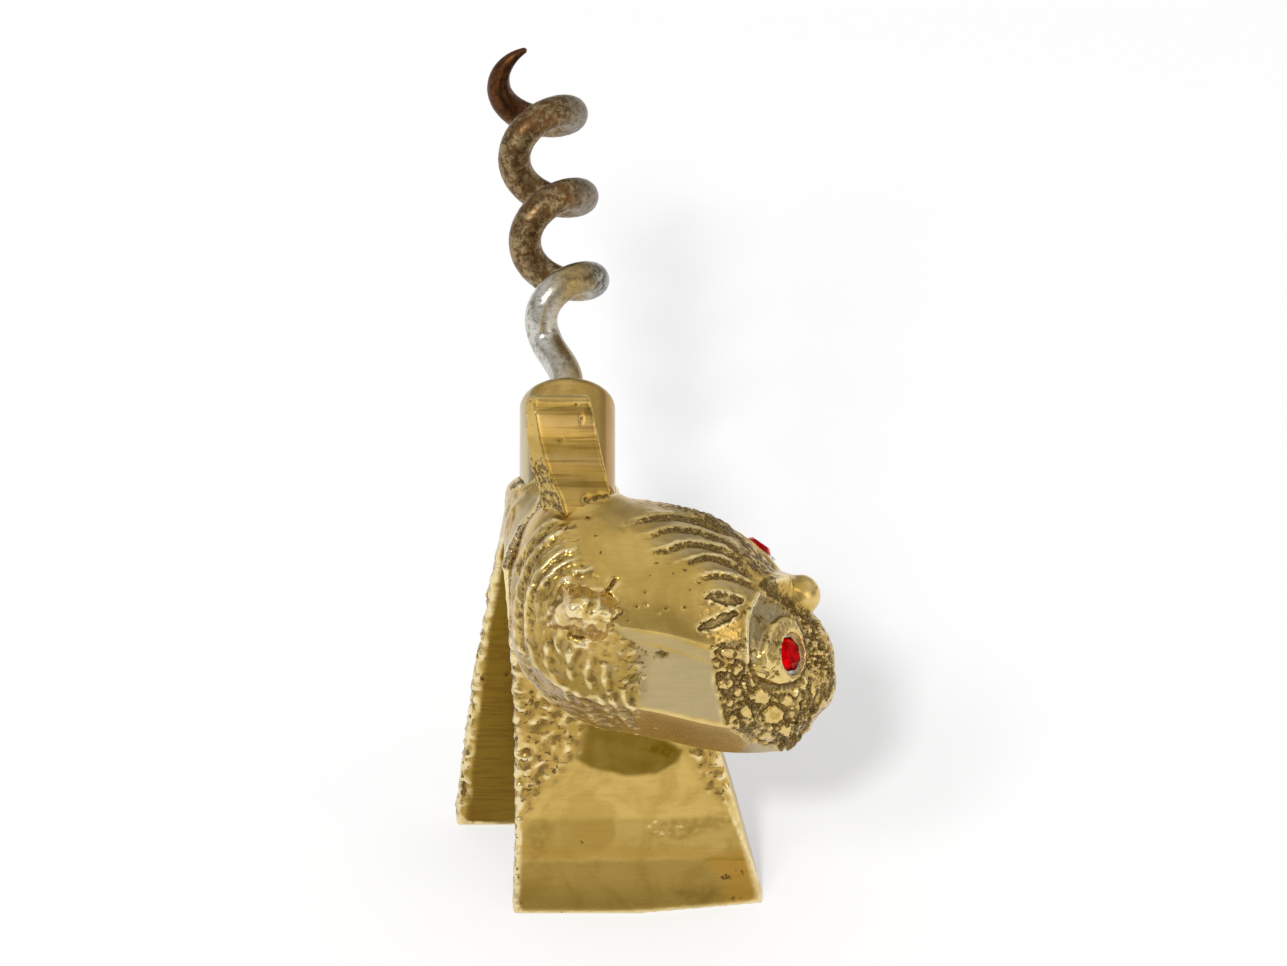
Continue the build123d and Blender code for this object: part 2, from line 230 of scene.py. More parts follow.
def make_world():
    world = bpy.data.worlds.new("studio")
    bpy.context.scene.world = world
    world.use_nodes = True
    n = Nodes(world.node_tree)
    path = n.add("LightPath", {})
    way = n.add("TexCoord", {})["Generated"]
    up = n.add("SeparateXYZ", {0: way})[2]
    colour = n.mix(n.spread(up, 0.0, 0.9), ROOM_LOW, ROOM_HIGH)
    cloud = n.noise(way, 1.7, 1.0)
    colour = n.mix(n.spread(cloud, 0.48, 0.66, 0.0, 0.55), colour, ROOM_DARK)
    seen = n.most(path["Is Camera Ray"], path["Is Transmission Ray"])
    shade = n.add("Background", dict(Color=n.mix(seen, colour, WHITE), Strength=1.0))
    n.add("OutputWorld", dict(Surface=shade[0]))


def make_floor():
    """A white ground: it glows where it is seen or mirrored, and takes the beast's shadow."""
    half = FLOOR_HALF_MM
    corners = [(-half, -half, 0), (half, -half, 0), (half, half, 0), (-half, half, 0)]
    obj = mesh_object("floor", corners, [(0, 1, 2, 3)])
    material, n = new_material("floor")
    path = n.add("LightPath", {})
    seen = n.most(n.most(path["Is Camera Ray"], path["Is Glossy Ray"]), path["Is Transmission Ray"])
    matt = n.add("BsdfDiffuse", dict(Color=FLOOR_GREY))
    glow = n.add("Emission", dict(Color=WHITE, Strength=n.times(seen, FLOOR_GLOW)))
    both = n.add("AddShader", {0: matt[0], 1: glow[0]})
    n.add("OutputMaterial", dict(Surface=both[0]))
    obj.data.materials.append(material)


# Carving: moves of points, worked out in the photograph's own pixels

def photo_pixels(points):
    """Where points in millimetres stand in the photograph."""
    up = (points[:, 1] - ORIGIN_Y_MM) * IMAGE_UP[1] + points[:, 2] * IMAGE_UP[2]
    return np.stack([ORIGIN_PIXEL[0] + PIXELS_PER_MM * points[:, 0], ORIGIN_PIXEL[1] - PIXELS_PER_MM * up], 1)


def mirror_face(vectors, origin=FACE_POINT):
    """Points mirrored in the face's middle plane, or ways with an origin of 0."""
    return vectors - 2 * ((vectors - origin) @ FACE_ACROSS)[:, None] * FACE_ACROSS


def ease(value, low, high):
    t = np.clip((value - low) / (high - low), 0.0, 1.0)
    return t * t * (3 - 2 * t)


def bell(value, width):
    return np.exp(-((value / width) ** 2))


def most(*values):
    """The largest of several values, point by point."""
    return functools.reduce(np.maximum, values)


def line_side(pixels, line):
    """Distance to a line of points, less than 0 on its left, and the nearest place along it, from 0 to 1."""
    line = np.asarray(line, float)
    lengths = np.linalg.norm(line[1:] - line[:-1], axis=1)
    total = lengths.sum()
    best = np.full(len(pixels), np.inf)
    side = np.ones(len(pixels))
    place = np.zeros(len(pixels))
    done = 0.0
    for start, end, length in zip(line[:-1], line[1:], lengths):
        way = (end - start) / length
        away = pixels - start
        along = np.clip(away @ way, 0.0, length)
        gap = np.linalg.norm(away - along[:, None] * way, axis=1)
        near = gap < best
        best[near] = gap[near]
        side[near] = np.where(way[0] * away[near, 1] - way[1] * away[near, 0] < 0, -1.0, 1.0)
        place[near] = (done + along[near]) / total
        done += length
    return best * side, place


def line_distance(pixels, line):
    return np.abs(line_side(pixels, line)[0])


def oval(pixels, x, y, wide, high):
    """Distance from the middle of an oval, which is 1 on its edge."""
    return np.hypot((pixels[:, 0] - x) / wide, (pixels[:, 1] - y) / high)


def spots(pixels, table):
    """1 at the middle of each oval spot of a table, falling off to 0."""
    return most(*(bell(oval(pixels, *spot), 1.0) for spot in table))


def patches(pixels, table, wobble=0.0):
    """The strongest of a table of polygons, each with its soft edge and its strength."""
    moved = pixels + np.reshape(wobble, (-1, 1))
    return most(*(strength * inside(moved, corners, soft) for corners, soft, strength in table))


def inside(pixels, corners, soft):
    """1 well inside a polygon of pixels and 0 outside, with a soft edge of that many pixels."""
    corners = np.asarray(corners, float)
    x, y = pixels[:, 0], pixels[:, 1]
    within = np.zeros(len(pixels), bool)
    for (x0, y0), (x1, y1) in zip(corners, np.roll(corners, -1, axis=0)):
        cross = (y0 > y) != (y1 > y)
        with np.errstate(divide="ignore", invalid="ignore"):
            at = (x1 - x0) * (y - y0) / (y1 - y0) + x0
        within ^= cross & (x < at)
    gap = line_distance(pixels, np.vstack([corners, corners[:1]]))
    return ease(np.where(within, gap, -gap), -soft, soft)


# Steps between the noise of one seed and the next, and the make of the noise
FIELD_STEPS = (7.3, 3.1, 5.7)
CELL_STEPS = (4.3, 6.1, 2.7)
ROUGHNESS, FINER_BY = 0.9, 2.0
SWIRL_CENTRE = (604, 622)
SWIRL_RADIUS = 60.0


def field(points, size, seed, octaves):
    """Smooth noise from about -1 to 1; size is its grain in millimetres."""
    offset = Vector([seed * step for step in FIELD_STEPS])
    return np.array([noise.fractal(Vector(p) / size + offset, ROUGHNESS, FINER_BY, octaves) for p in points])


def cells(points, size, seed):
    """Distance to the nearest of scattered points, in grains."""
    offset = Vector([seed * step for step in CELL_STEPS])
    return np.array([noise.voronoi(Vector(p) / size + offset)[0][0] for p in points])


def swirl(pixels, across, along, seed):
    """Noise drawn out into short ridges that run round the near ear, in pixels."""
    away = pixels - np.array(SWIRL_CENTRE, float)
    gap = np.hypot(away[:, 0], away[:, 1]) / across
    turn = np.arctan2(-away[:, 1], -away[:, 0]) * SWIRL_RADIUS / along
    return np.array([noise.fractal(Vector((g, t, seed)), ROUGHNESS, FINER_BY, 2) for g, t in zip(gap, turn)])


def copy_of(node, voxel):
    """A closed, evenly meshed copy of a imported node."""
    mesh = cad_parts[node].data.copy()
    mesh.materials.clear()
    b = bmesh.new()
    b.from_mesh(mesh)
    bmesh.ops.remove_doubles(b, verts=b.verts, dist=WELD)
    b.to_mesh(mesh)
    b.free()
    obj = place_object(node + "_cast", mesh)
    remesh = obj.modifiers.new("even", "REMESH")
    remesh.mode = "VOXEL"
    remesh.voxel_size = voxel * MM
    remesh.use_smooth_shade = True
    bpy.context.view_layer.update()
    made = bpy.data.meshes.new_from_object(obj.evaluated_get(bpy.context.evaluated_depsgraph_get()))
    obj.modifiers.clear()
    obj.data = made
    shade_smooth(made)
    return obj


def shade_smooth(mesh):
    mesh.polygons.foreach_set("use_smooth", np.ones(len(mesh.polygons), bool))
    mesh.update()


def read_vectors(obj, kind):
    out = np.zeros(len(obj.data.vertices) * 3)
    obj.data.vertices.foreach_get(kind, out)
    return out.reshape(-1, 3)


def read_points(obj):
    """The places of an object's points, in millimetres."""
    return read_vectors(obj, "co") / MM


def read_shape(obj):
    return read_points(obj), read_vectors(obj, "normal")


def write_points(obj, points):
    obj.data.vertices.foreach_set("co", (points * MM).ravel())
    obj.data.update()


def neighbour_average(mesh):
    """A function that takes the mean of each point's neighbours."""
    edges = np.zeros(len(mesh.edges) * 2, int)
    mesh.edges.foreach_get("vertices", edges)
    one, other = edges.reshape(-1, 2).T
    total = len(mesh.vertices)
    count = np.maximum(np.bincount(edges, minlength=total), 1)

    def average(values):
        if values.ndim == 2:
            return np.stack([average(column) for column in values.T], 1)
        return (np.bincount(one, values[other], total) + np.bincount(other, values[one], total)) / count

    return average


def smoothed(obj, points, rounds, share):
    """Points that move a share of the way to their neighbours, a number of times."""
    average = neighbour_average(obj.data)
    for _ in range(rounds):
        points = points + share * (average(points) - points)
    return points


def lie_flat(obj, node, least):
    """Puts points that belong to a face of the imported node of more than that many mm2 back onto it."""
    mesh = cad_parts[node].data
    tree = BVHTree.FromPolygons([v.co for v in mesh.vertices], [tuple(p.vertices) for p in mesh.polygons])
    areas = [p.area / MM**2 for p in mesh.polygons]
    points = read_points(obj)
    for index, point in enumerate(points):
        found = tree.find_nearest(Vector(point * MM))
        if areas[found[2]] > least:
            points[index] = np.array(found[0]) / MM
    write_points(obj, points)


SHRINK, GROW = 0.5, 0.53


def soften(obj, rounds):
    """Smooths the steps of the voxels, and keeps the size by growing again in every other round."""
    average = neighbour_average(obj.data)
    points = read_points(obj)
    for step in range(rounds):
        points = points + SHRINK * (average(points) - points)
        points = points - GROW * (average(points) - points) if step % 2 else points
    write_points(obj, points)


def round_edges(obj, rounds, below=ANY_HEIGHT):
    """Wears the sharp edges off below a height: flat places stay where they are."""
    points = read_points(obj)
    worn = smoothed(obj, points, rounds, 0.5)
    write_points(obj, points + ease(points[:, 2], below, below - 4)[:, None] * (worn - points))


def hollow_shade(obj, rounds=6):
    """How far each point lies below its surroundings, in millimetres: for the dark patina in hollows, and for
    the painted highlights on raised places.
    """
    average = neighbour_average(obj.data)
    points, normals = read_shape(obj)
    around = smoothed(obj, points, rounds, 1.0)
    shade = ((around - points) * normals).sum(1)
    for _ in range(3):
        shade = average(shade)
    return shade


def keep_values(obj, **values):
    """Values of each point that the materials read, kept from -1 to 1."""
    for name, value in values.items():
        attribute = obj.data.attributes.new(name, "FLOAT", "POINT")
        value = np.broadcast_to(value, len(obj.data.vertices))
        attribute.data.foreach_set("value", np.clip(value, -1, 1).astype(np.float32))


class Marks:
    """What carving does to each point: a move outwards in millimetres, a brown stain and a pale spot."""

    def __init__(self, pixels):
        self.move, self.dark, self.pale = np.zeros((3, len(pixels)))

    def stain(self, *amounts):
        self.dark = most(self.dark, *amounts)

    def lighten(self, *amounts):
        self.pale = most(self.pale, *amounts)

    def fade(self, share):
        self.move, self.dark, self.pale = (value * share for value in (self.move, self.dark, self.pale))

    def add(self, other, share=1.0):
        self.move = self.move + share * other.move
        self.stain(share * other.dark)
        self.lighten(share * other.pale)


STRIPES = (
    ((629, 524), (644, 520), (654, 518), (665, 517), (676, 516), (690, 519), (707, 523), (720, 528),
     (733, 532), (745, 543), (755, 552)),
    ((643, 537), (652, 536), (662, 531), (676, 528), (688, 529), (701, 531), (713, 536), (726, 541),
     (733, 547), (740, 555), (751, 566)),
    ((649, 556), (657, 552), (670, 550), (680, 546), (690, 543), (701, 544), (713, 546), (724, 549),
     (733, 555), (740, 561), (746, 567), (754, 575)),
    ((682, 563), (691, 562), (700, 559), (708, 557), (720, 559), (729, 562), (738, 566), (746, 572),
     (755, 580)),
    ((699, 580), (706, 578), (713, 576), (723, 576), (733, 578), (743, 581), (753, 586), (760, 590)),
)
TOP_STRIPE = (
    (640, 499), (655, 499), (676, 505), (695, 512), (712, 520), (726, 526), (740, 535), (752, 548),
)
SLITS = (
    ((706, 597), (715, 596), (723, 598), (731, 600), (742, 600)),
    ((699, 629), (710, 623), (722, 618), (735, 613)),
)
BROW_RIM = ((762, 588), (757, 598), (752, 607), (748, 620), (747, 635), (748, 648), (749, 658), (747, 668))
EYE_RECESS = (
    (763, 592), (768, 595), (782, 602), (792, 611), (788, 616), (778, 617), (771, 623), (767, 633),
    (762, 645), (759, 655), (756, 665), (750, 666), (749, 648), (750, 623), (753, 608),
)
RECESS_STAINS = ((761, 619, 4, 5), (767, 627, 3, 4), (772, 599, 7, 3.5), (787, 606, 6, 4), (758, 640, 2, 7))
EYE_LID = (
    (782, 615), (774, 622), (768, 631), (764, 641), (761, 651), (762, 661), (757, 675), (766, 678),
    (777, 683), (790, 681), (799, 675), (804, 662), (804, 646), (800, 633), (793, 621),
)
LID_GUTTER = (
    (751, 666), (757, 681), (770, 687), (786, 688), (799, 683), (807, 668), (808, 650), (804, 632),
    (797, 618),
)
NOSE_BALL = (801.7, 593.0, 18.0)
NOSE_BRIDGE = ((769, 581), (779, 582), (789, 586))
NOSE_GROOVE = ((763, 584), (770, 591), (782, 600), (793, 606), (801, 614), (812, 621))
CHIN_TRIM = ((824, 728, 16, 24), (812, 742, 14, 14))
CHIN_SIDE = ((824, 722, 22, 30), (806, 748, 22, 18))
# Middle and half-sizes of each flat-topped knob
PLATES = (
    (727, 652, 9, 5), (717, 663, 5, 4), (736, 669, 8, 6), (726, 682, 7, 6), (738, 691, 6, 5),
    (727, 700, 6, 6), (762, 697, 12, 8), (735, 721, 8, 7), (746, 711, 7, 8), (774, 714, 12, 10),
    (784, 729, 8, 6), (752, 681, 6, 5), (768, 737, 9, 5), (787, 702, 8, 7), (718, 641, 6, 4),
    (789, 744, 5, 4),
)
RINGED = (3, 5, 7)
CHEEK_STAINS = (
    (748, 732, 5, 4), (755, 724, 4, 4), (749, 690, 4, 5), (757, 707, 6, 4), (743, 679, 3, 3),
    (722, 673, 5, 3),
)
MUZZLE_STREAKS = (
    ((801, 690), (799, 705), (796, 722)), ((808, 684), (807, 700), (803, 716)),
    ((816, 690), (814, 706), (808, 722)), ((822, 684), (820, 698), (815, 712)),
    ((795, 722), (793, 735), (789, 745)), ((803, 722), (799, 734), (795, 742)),
    ((828, 668), (829, 684), (826, 698)), ((785, 736), (783, 742), (780, 747)),
    ((811, 722), (806, 732), (801, 739)),
)
MUZZLE_PITS = (
    ((806, 627), (810, 640), (812, 655), (809, 668)), ((815, 628), (820, 645), (822, 662)),
    ((825, 640), (829, 655), (831, 668)), ((812, 672), (818, 665), (824, 672)),
    ((800, 612), (808, 620), (818, 624)),
)
CHEEK_AREA = (
    (709, 646), (722, 641), (740, 642), (748, 668), (757, 685), (775, 691), (790, 692), (799, 700),
    (796, 735), (790, 750), (752, 743), (726, 724), (717, 690),
)
MUZZLE_AREA = (
    (800, 608), (822, 618), (848, 645), (848, 700), (832, 736), (800, 764), (790, 730), (800, 700),
    (806, 680), (806, 640),
)
BRIDGE_AREA = (
    (742, 540), (756, 543), (768, 553), (778, 568), (772, 577), (758, 576), (748, 566), (736, 552),
)
BROW_AREA = (
    (700, 590), (735, 588), (760, 590), (751, 607), (747, 640), (747, 664), (738, 645), (715, 642),
    (694, 634),
)
FACE_AREA = (
    (712, 638), (748, 640), (750, 606), (762, 580), (778, 594), (800, 612), (824, 618), (850, 640),
    (850, 700), (800, 762), (752, 744), (725, 724), (711, 655),
)
CROWN_PITS = (
    (657, 562, 3, 1.5), (685, 569, 2.5, 1.6), (645, 592, 2.5, 1.6), (666, 608, 2.6, 1.5),
    (684, 607, 2, 1.5), (712, 603, 2.5, 2), (588, 517, 3, 2), (699, 582, 2, 1.5), (673, 573, 1.5, 1.5),
    (628, 620, 2, 1.5), (637, 606, 1.6, 1.6), (596, 535, 2, 1.4), (601, 552, 1.8, 1.8),
    (690, 589, 1.4, 1.4), (650, 575, 1.3, 1.3),
)
# Ridges of fur, each with a valley on its left: long curved ones, then short faint ones
FUR_ARCS = (
    ((565, 516), (555, 518), (545, 526), (535, 538), (525, 550), (517, 566), (513, 590)),
    ((579, 529), (565, 528), (551, 536), (537, 548), (527, 564), (520, 584), (517, 610), (517, 640),
     (524, 668), (538, 691), (556, 705)),
    ((579, 548), (565, 550), (551, 560), (539, 572), (530, 590), (526, 612), (527, 640), (535, 664)),
    ((577, 558), (563, 564), (547, 576), (537, 592), (533, 608)),
    ((587, 584), (571, 594), (555, 608), (543, 620)), ((531, 474), (515, 483), (503, 503), (497, 530)),
    ((524, 497), (513, 508), (506, 524), (503, 545)),
)
FUR_RIDGES = (
    ((575, 644), (568, 662), (572, 680)), ((590, 650), (586, 672), (592, 692)),
    ((548, 640), (546, 662), (556, 682)), ((604, 660), (604, 682), (612, 702)),
    ((585, 700), (592, 716), (606, 730)), ((609, 696), (618, 712), (634, 730)),
    ((563, 686), (572, 702), (582, 714)), ((600, 560), (592, 566), (583, 573)),
    ((560, 625), (556, 642), (562, 656)), ((620, 690), (628, 704), (640, 716)),
    ((597, 690), (604, 706), (618, 722)), ((574, 690), (582, 706), (594, 722)),
)
# Knobs on the fur: each is raised, and given a painted highlight
FUR_HIGHLIGHT_KNOBS = (
    (589, 598, 5, 4), (573, 617, 6, 4), (597, 611, 6, 4), (593, 621, 6, 3), (566, 579, 7, 4),
    (578, 571, 6, 3), (583, 644, 6, 3), (569, 652, 4, 4), (600, 637, 5, 3),
)
FUR_AREA = (
    (500, 520), (528, 538), (548, 514), (578, 522), (584, 548), (592, 566), (603, 580), (610, 592),
    (612, 600), (626, 612), (612, 626), (650, 655), (648, 690), (636, 702), (642, 736), (600, 744),
    (540, 760), (505, 780), (485, 700), (490, 560),
)
FUR_SHADE = (
    (((545, 610), (560, 640), (600, 655), (640, 650), (650, 700), (620, 740), (540, 730),
      (520, 660)), 16.0, 0.38),
    (((548, 672), (590, 668), (612, 690), (604, 722), (566, 716)), 9.0, 0.55),
)
EAR_ROOT = ((556, 509), (572, 509), (592, 505), (612, 499), (626, 492))
# Where the round back meets the head and the ferrule
JOINS = (
    ((508, 566), (514, 548), (522, 529), (536, 514), (543, 502)),
    ((514, 488), (524, 481), (536, 476), (548, 470)),
)
LUMP_CREASE = ((571, 634), (579, 636), (587, 633), (599, 634))
CRACK = ((615, 579), (607, 591), (613, 600))
JAG = ((606, 598), (623, 611), (610, 621), (627, 638), (649, 652))
FACET_SPOT = (661, 654, 1.3, 1.0)
# Silvery places, each with its soft edge and strength: the first is a worn silver facet, the second a painted
# highlight along the crown's rolled lower edge, and the fourth painted highlights on streaks of fur
SILVER_AND_SHEEN_AREAS = (
    (((634, 640), (712, 663), (724, 722), (640, 706)), 3.0, 0.9),
    (((612, 624), (640, 632), (672, 636), (712, 652), (712, 662), (660, 644), (625, 640)), 2.5, 0.7),
    (((752, 742), (796, 750), (784, 760), (735, 756)), 2.0, 1.0),
    (((585, 690), (640, 700), (640, 735), (600, 730)), 8.0, 0.4),
    (((652, 536), (700, 536), (726, 548), (700, 541), (676, 544), (655, 549)), 3.0, 0.45),
    (((612, 515), (640, 510), (640, 522), (612, 528)), 6.0, 0.25),
)
CALM_PATCH = (
    (521, 498), (535, 494), (545, 512), (541, 532), (525, 542), (513, 546), (511, 530), (517, 510),
)
# Under this line the chin's facet is darker, from its left end to its right end
CHIN_LINE = (640, 706)
CHIN_SLOPE = 0.27
CHIN_ENDS = ((632, 655), (760, 740))
LUMP_RING = (585, 613, 30, 24)
GRIT_PATCH = (632, 672, 20, 26)
# Each cut in the fur, with its depth in millimetres and its width in pixels
FUR_CUTS = ((LUMP_CREASE, 0.45, 3.4), (CRACK, 0.35, 1.7), (JAG, 0.22, 2.2))


def swell(place):
    """A line's strength: full in its middle, nothing at its ends."""
    return np.sqrt(np.clip(np.sin(np.pi * np.clip(place, 0.015, 0.985)), 0.0, 1.0))


def carve_stripes(pixels, wobble, grain):
    """Pitted lines under a jagged lip, each with a pale hollow below it."""
    marks = Marks(pixels)
    for stripe in STRIPES:
        side, place = line_side(pixels, stripe)
        side = side + 0.8 * wobble + 0.9 * grain
        strength = swell(place)
        hollow = ease(place, 0.10, 0.35) * ease(place, 1.0, 0.85)
        step = ease(side, -3.0, 1.5) * ease(side, 15.0, 4.0)
        band = ease(side, -4.0, -2.2) * ease(side, 3.2, 1.2)
        marks.move += strength * (0.14 * bell(side + 5.0, 2.0) - 0.24 * step - 0.10 * band * (1 + grain))
        marks.stain(strength * band * (1.10 - 0.9 * ease(grain, 0.15, 0.6)))
        marks.lighten(0.70 * hollow * bell(side - 6.0, 4.2))
    side, place = line_side(pixels, TOP_STRIPE)
    marks.move += swell(place) * (0.25 * bell(side, 3.5) * (0.8 + 0.8 * grain) - 0.2 * bell(side - 6, 3))
    marks.stain(swell(place) * bell(side + 1.0, 6.0) * (0.8 - 0.6 * grain))
    marks.lighten(0.6 * swell(place) * bell(side - 7.0, 3.0))
    for slit in SLITS:
        side, place = line_side(pixels, slit)
        gap = np.abs(side) + 1.6 * wobble + 1.5 * grain
        width = 0.6 + 3.6 * swell(place)
        open_part = 1 - ease(gap, width - 1.2, width + 1.2)
        marks.move += -0.30 * open_part + 0.07 * bell(gap - width - 2.5, 2.0)
        marks.dark *= 1 - open_part
        marks.stain((0.8 - 0.4 * grain) * bell(gap - width, 2.0), open_part * (0.35 - 0.5 * grain))
        marks.lighten(0.6 * open_part)
    return marks


def carve_eye(pixels, wobble, grain):
    """The brow's rim, the hollow behind it and the almond lid in its gutter, and where they cut all else."""
    marks = Marks(pixels)
    side, place = line_side(pixels, BROW_RIM)
    recess = inside(pixels + 0.6 * wobble[:, None], EYE_RECESS, 1.6)
    lid = inside(pixels, EYE_LID, 2.2)
    gutter = bell(line_distance(pixels, LID_GUTTER) + 0.8 * wobble, 3.6) * (1 - lid)
    marks.move = 0.30 * bell(side - 2.0, 3.2) * swell(place) - 0.38 * recess + 0.42 * lid - 0.42 * gutter
    stain = spots(pixels, RECESS_STAINS) * (0.9 - 0.5 * grain)
    marks.stain(recess * 0.70 * stain, gutter * (0.66 - 0.6 * grain))
    marks.lighten(recess * (1 - 0.8 * stain), 0.6 * gutter)
    return marks, most(recess, gutter, 0.75 * lid)


def carve_nose(pixels, wobble, grain):
    """The bridge between the brow and the nose's ball, and the groove under them."""
    marks = Marks(pixels)
    cut = bell(line_distance(pixels, NOSE_GROOVE) + 1.5 * wobble, 6.0)
    marks.move = 1.15 * bell(line_distance(pixels, NOSE_BRIDGE), 7.5) - 0.30 * cut * (0.8 - 0.6 * grain)
    marks.stain(cut * (0.95 - 0.7 * grain))
    return marks


def carve_cheek(pixels, wobble, grain, broad):
    """Flat-topped knobs of gold with brown edges, on a grey ground."""
    marks = Marks(pixels)
    area = inside(pixels, CHEEK_AREA, 2.5)
    ground = np.ones(len(pixels))
    edge, pitted = np.zeros((2, len(pixels)))
    for index, plate in enumerate(PLATES):
        off = oval(pixels, *plate)
        gap = (off - 1) * min(plate[2:]) + 3.4 * wobble + 2.6 * grain
        ground = np.minimum(ground, ease(gap, -1.2, 1.2))
        edge = most(edge, bell(gap - 0.6, 1.9))
        if index in RINGED:
            pitted = most(pitted, bell(off, 0.45))
    ground *= 1 - 0.85 * ease(broad + 0.4 * grain, 0.15, 0.4)
    stain = spots(pixels, CHEEK_STAINS)
    knobs = 0.12 - 0.26 * ground - 0.20 * edge - 0.22 * pitted - 0.25 * stain + 0.12 * ground * grain
    marks.move = area * knobs
    marks.stain(area * most(edge, 0.9 * pitted, stain, ground * (0.42 - 0.6 * broad)))
    marks.lighten(area * ground * 0.9 * (1 - 0.7 * edge) * (0.8 + 0.4 * wobble))
    return marks


def carve_muzzle(pixels, wobble, grain):
    """Long cuts like whiskers on a lumpy, stained skin."""
    marks = Marks(pixels)
    area = inside(pixels, MUZZLE_AREA, 4.0)
    marks.move = area * 0.10 * wobble
    for streak in MUZZLE_STREAKS:
        side, place = line_side(pixels, streak)
        gap = np.abs(side) + 1.4 * wobble + 0.8 * grain
        width = 0.8 + 2.2 * swell(place)
        marks.move += -0.36 * bell(gap, width) + 0.20 * bell(gap - 2.0 * width, 1.6)
        marks.lighten(0.4 * bell(gap, width))
        marks.stain(bell(gap - width, 1.5))
    marks.stain(0.68 * area * ease(-wobble - 0.5 * grain, -0.05, 0.45))
    for line in MUZZLE_PITS:
        cut = bell(line_distance(pixels, line) + 2.0 * wobble, 5.0) * ease(-grain, -0.25, 0.2)
        marks.move -= 0.32 * cut
        marks.stain(cut)
    return marks


def fur_ridge(pixels, line, wobble, height, width):
    """Along a line: the rise of a ridge and of the valley on its left, the ridge's crest and the valley."""
    side, place = line_side(pixels, line)
    side = side + wobble
    rise = height * bell(side, width) - 0.18 * bell(side + 6.5, 3.2)
    return swell(place) * np.stack([rise, bell(side - 1.0, 2.2), bell(side + 4.5, 2.4)])


def carve_fur(pixels, broad, grain, fine):
    """Cast ridges that run round the lump, with dull valleys, and the lump's creases and cracks."""
    marks = Marks(pixels)
    strands = swirl(pixels + 3.0 * broad[:, None], 4.2, 20.0, 3.5)
    marks.move = 0.12 * broad + 0.02 * grain + 0.11 * strands
    marks.stain(0.7 * ease(-strands, 0.25, 0.7) * ease(-grain, -0.2, 0.4))
    # The strands' crests get a painted highlight
    marks.lighten(0.65 * ease(strands, 0.15, 0.6))
    for table, strength, dull in ((FUR_ARCS, 1.0, 0.8), (FUR_RIDGES, 0.6, 0.0)):
        for line in table:
            rise, crest, valley = strength * fur_ridge(pixels, line, 1.6 * broad, 0.30, 2.6)
            marks.move += rise
            marks.lighten(crest)
            marks.stain(dull * valley * (0.7 - 0.9 * grain))
    marks.move += 0.30 * spots(pixels, FUR_HIGHLIGHT_KNOBS)
    for line, depth, width in FUR_CUTS:
        cut = bell(line_distance(pixels, line) + 1.0 * broad, width)
        marks.move -= depth * cut
        marks.stain((1.0 - 0.4 * grain) * cut)
    marks.stain(0.75 * bell(line_distance(pixels, JOINS[0]), 3.5))
    # The fur rises to the lump that the near ear ends in
    marks.move += 0.25 * bell(oval(pixels, *LUMP_RING) - 1, 0.25)
    # The granular patch in front of the facet
    grit = bell(oval(pixels, *GRIT_PATCH), 1.0)
    marks.move += 0.14 * grit * fine
    marks.stain(0.85 * grit * ease(-fine, 0.1, 0.4))
    return marks


def melt_nose(obj):
    """Fills the crease between the nose's ball and the face."""
    points = read_points(obj)
    pixels = photo_pixels(points)
    x, y, radius = NOSE_BALL
    gap = np.abs(oval(pixels, x, y, 1, 1) - radius)
    weight = bell(gap, 9.0) * ease((pixels[:, 0] - x) * 0.9 - (pixels[:, 1] - y) * 0.45, 14.0, -2.0)
    write_points(obj, points + weight[:, None] * (smoothed(obj, points, 70, 0.7) - points))


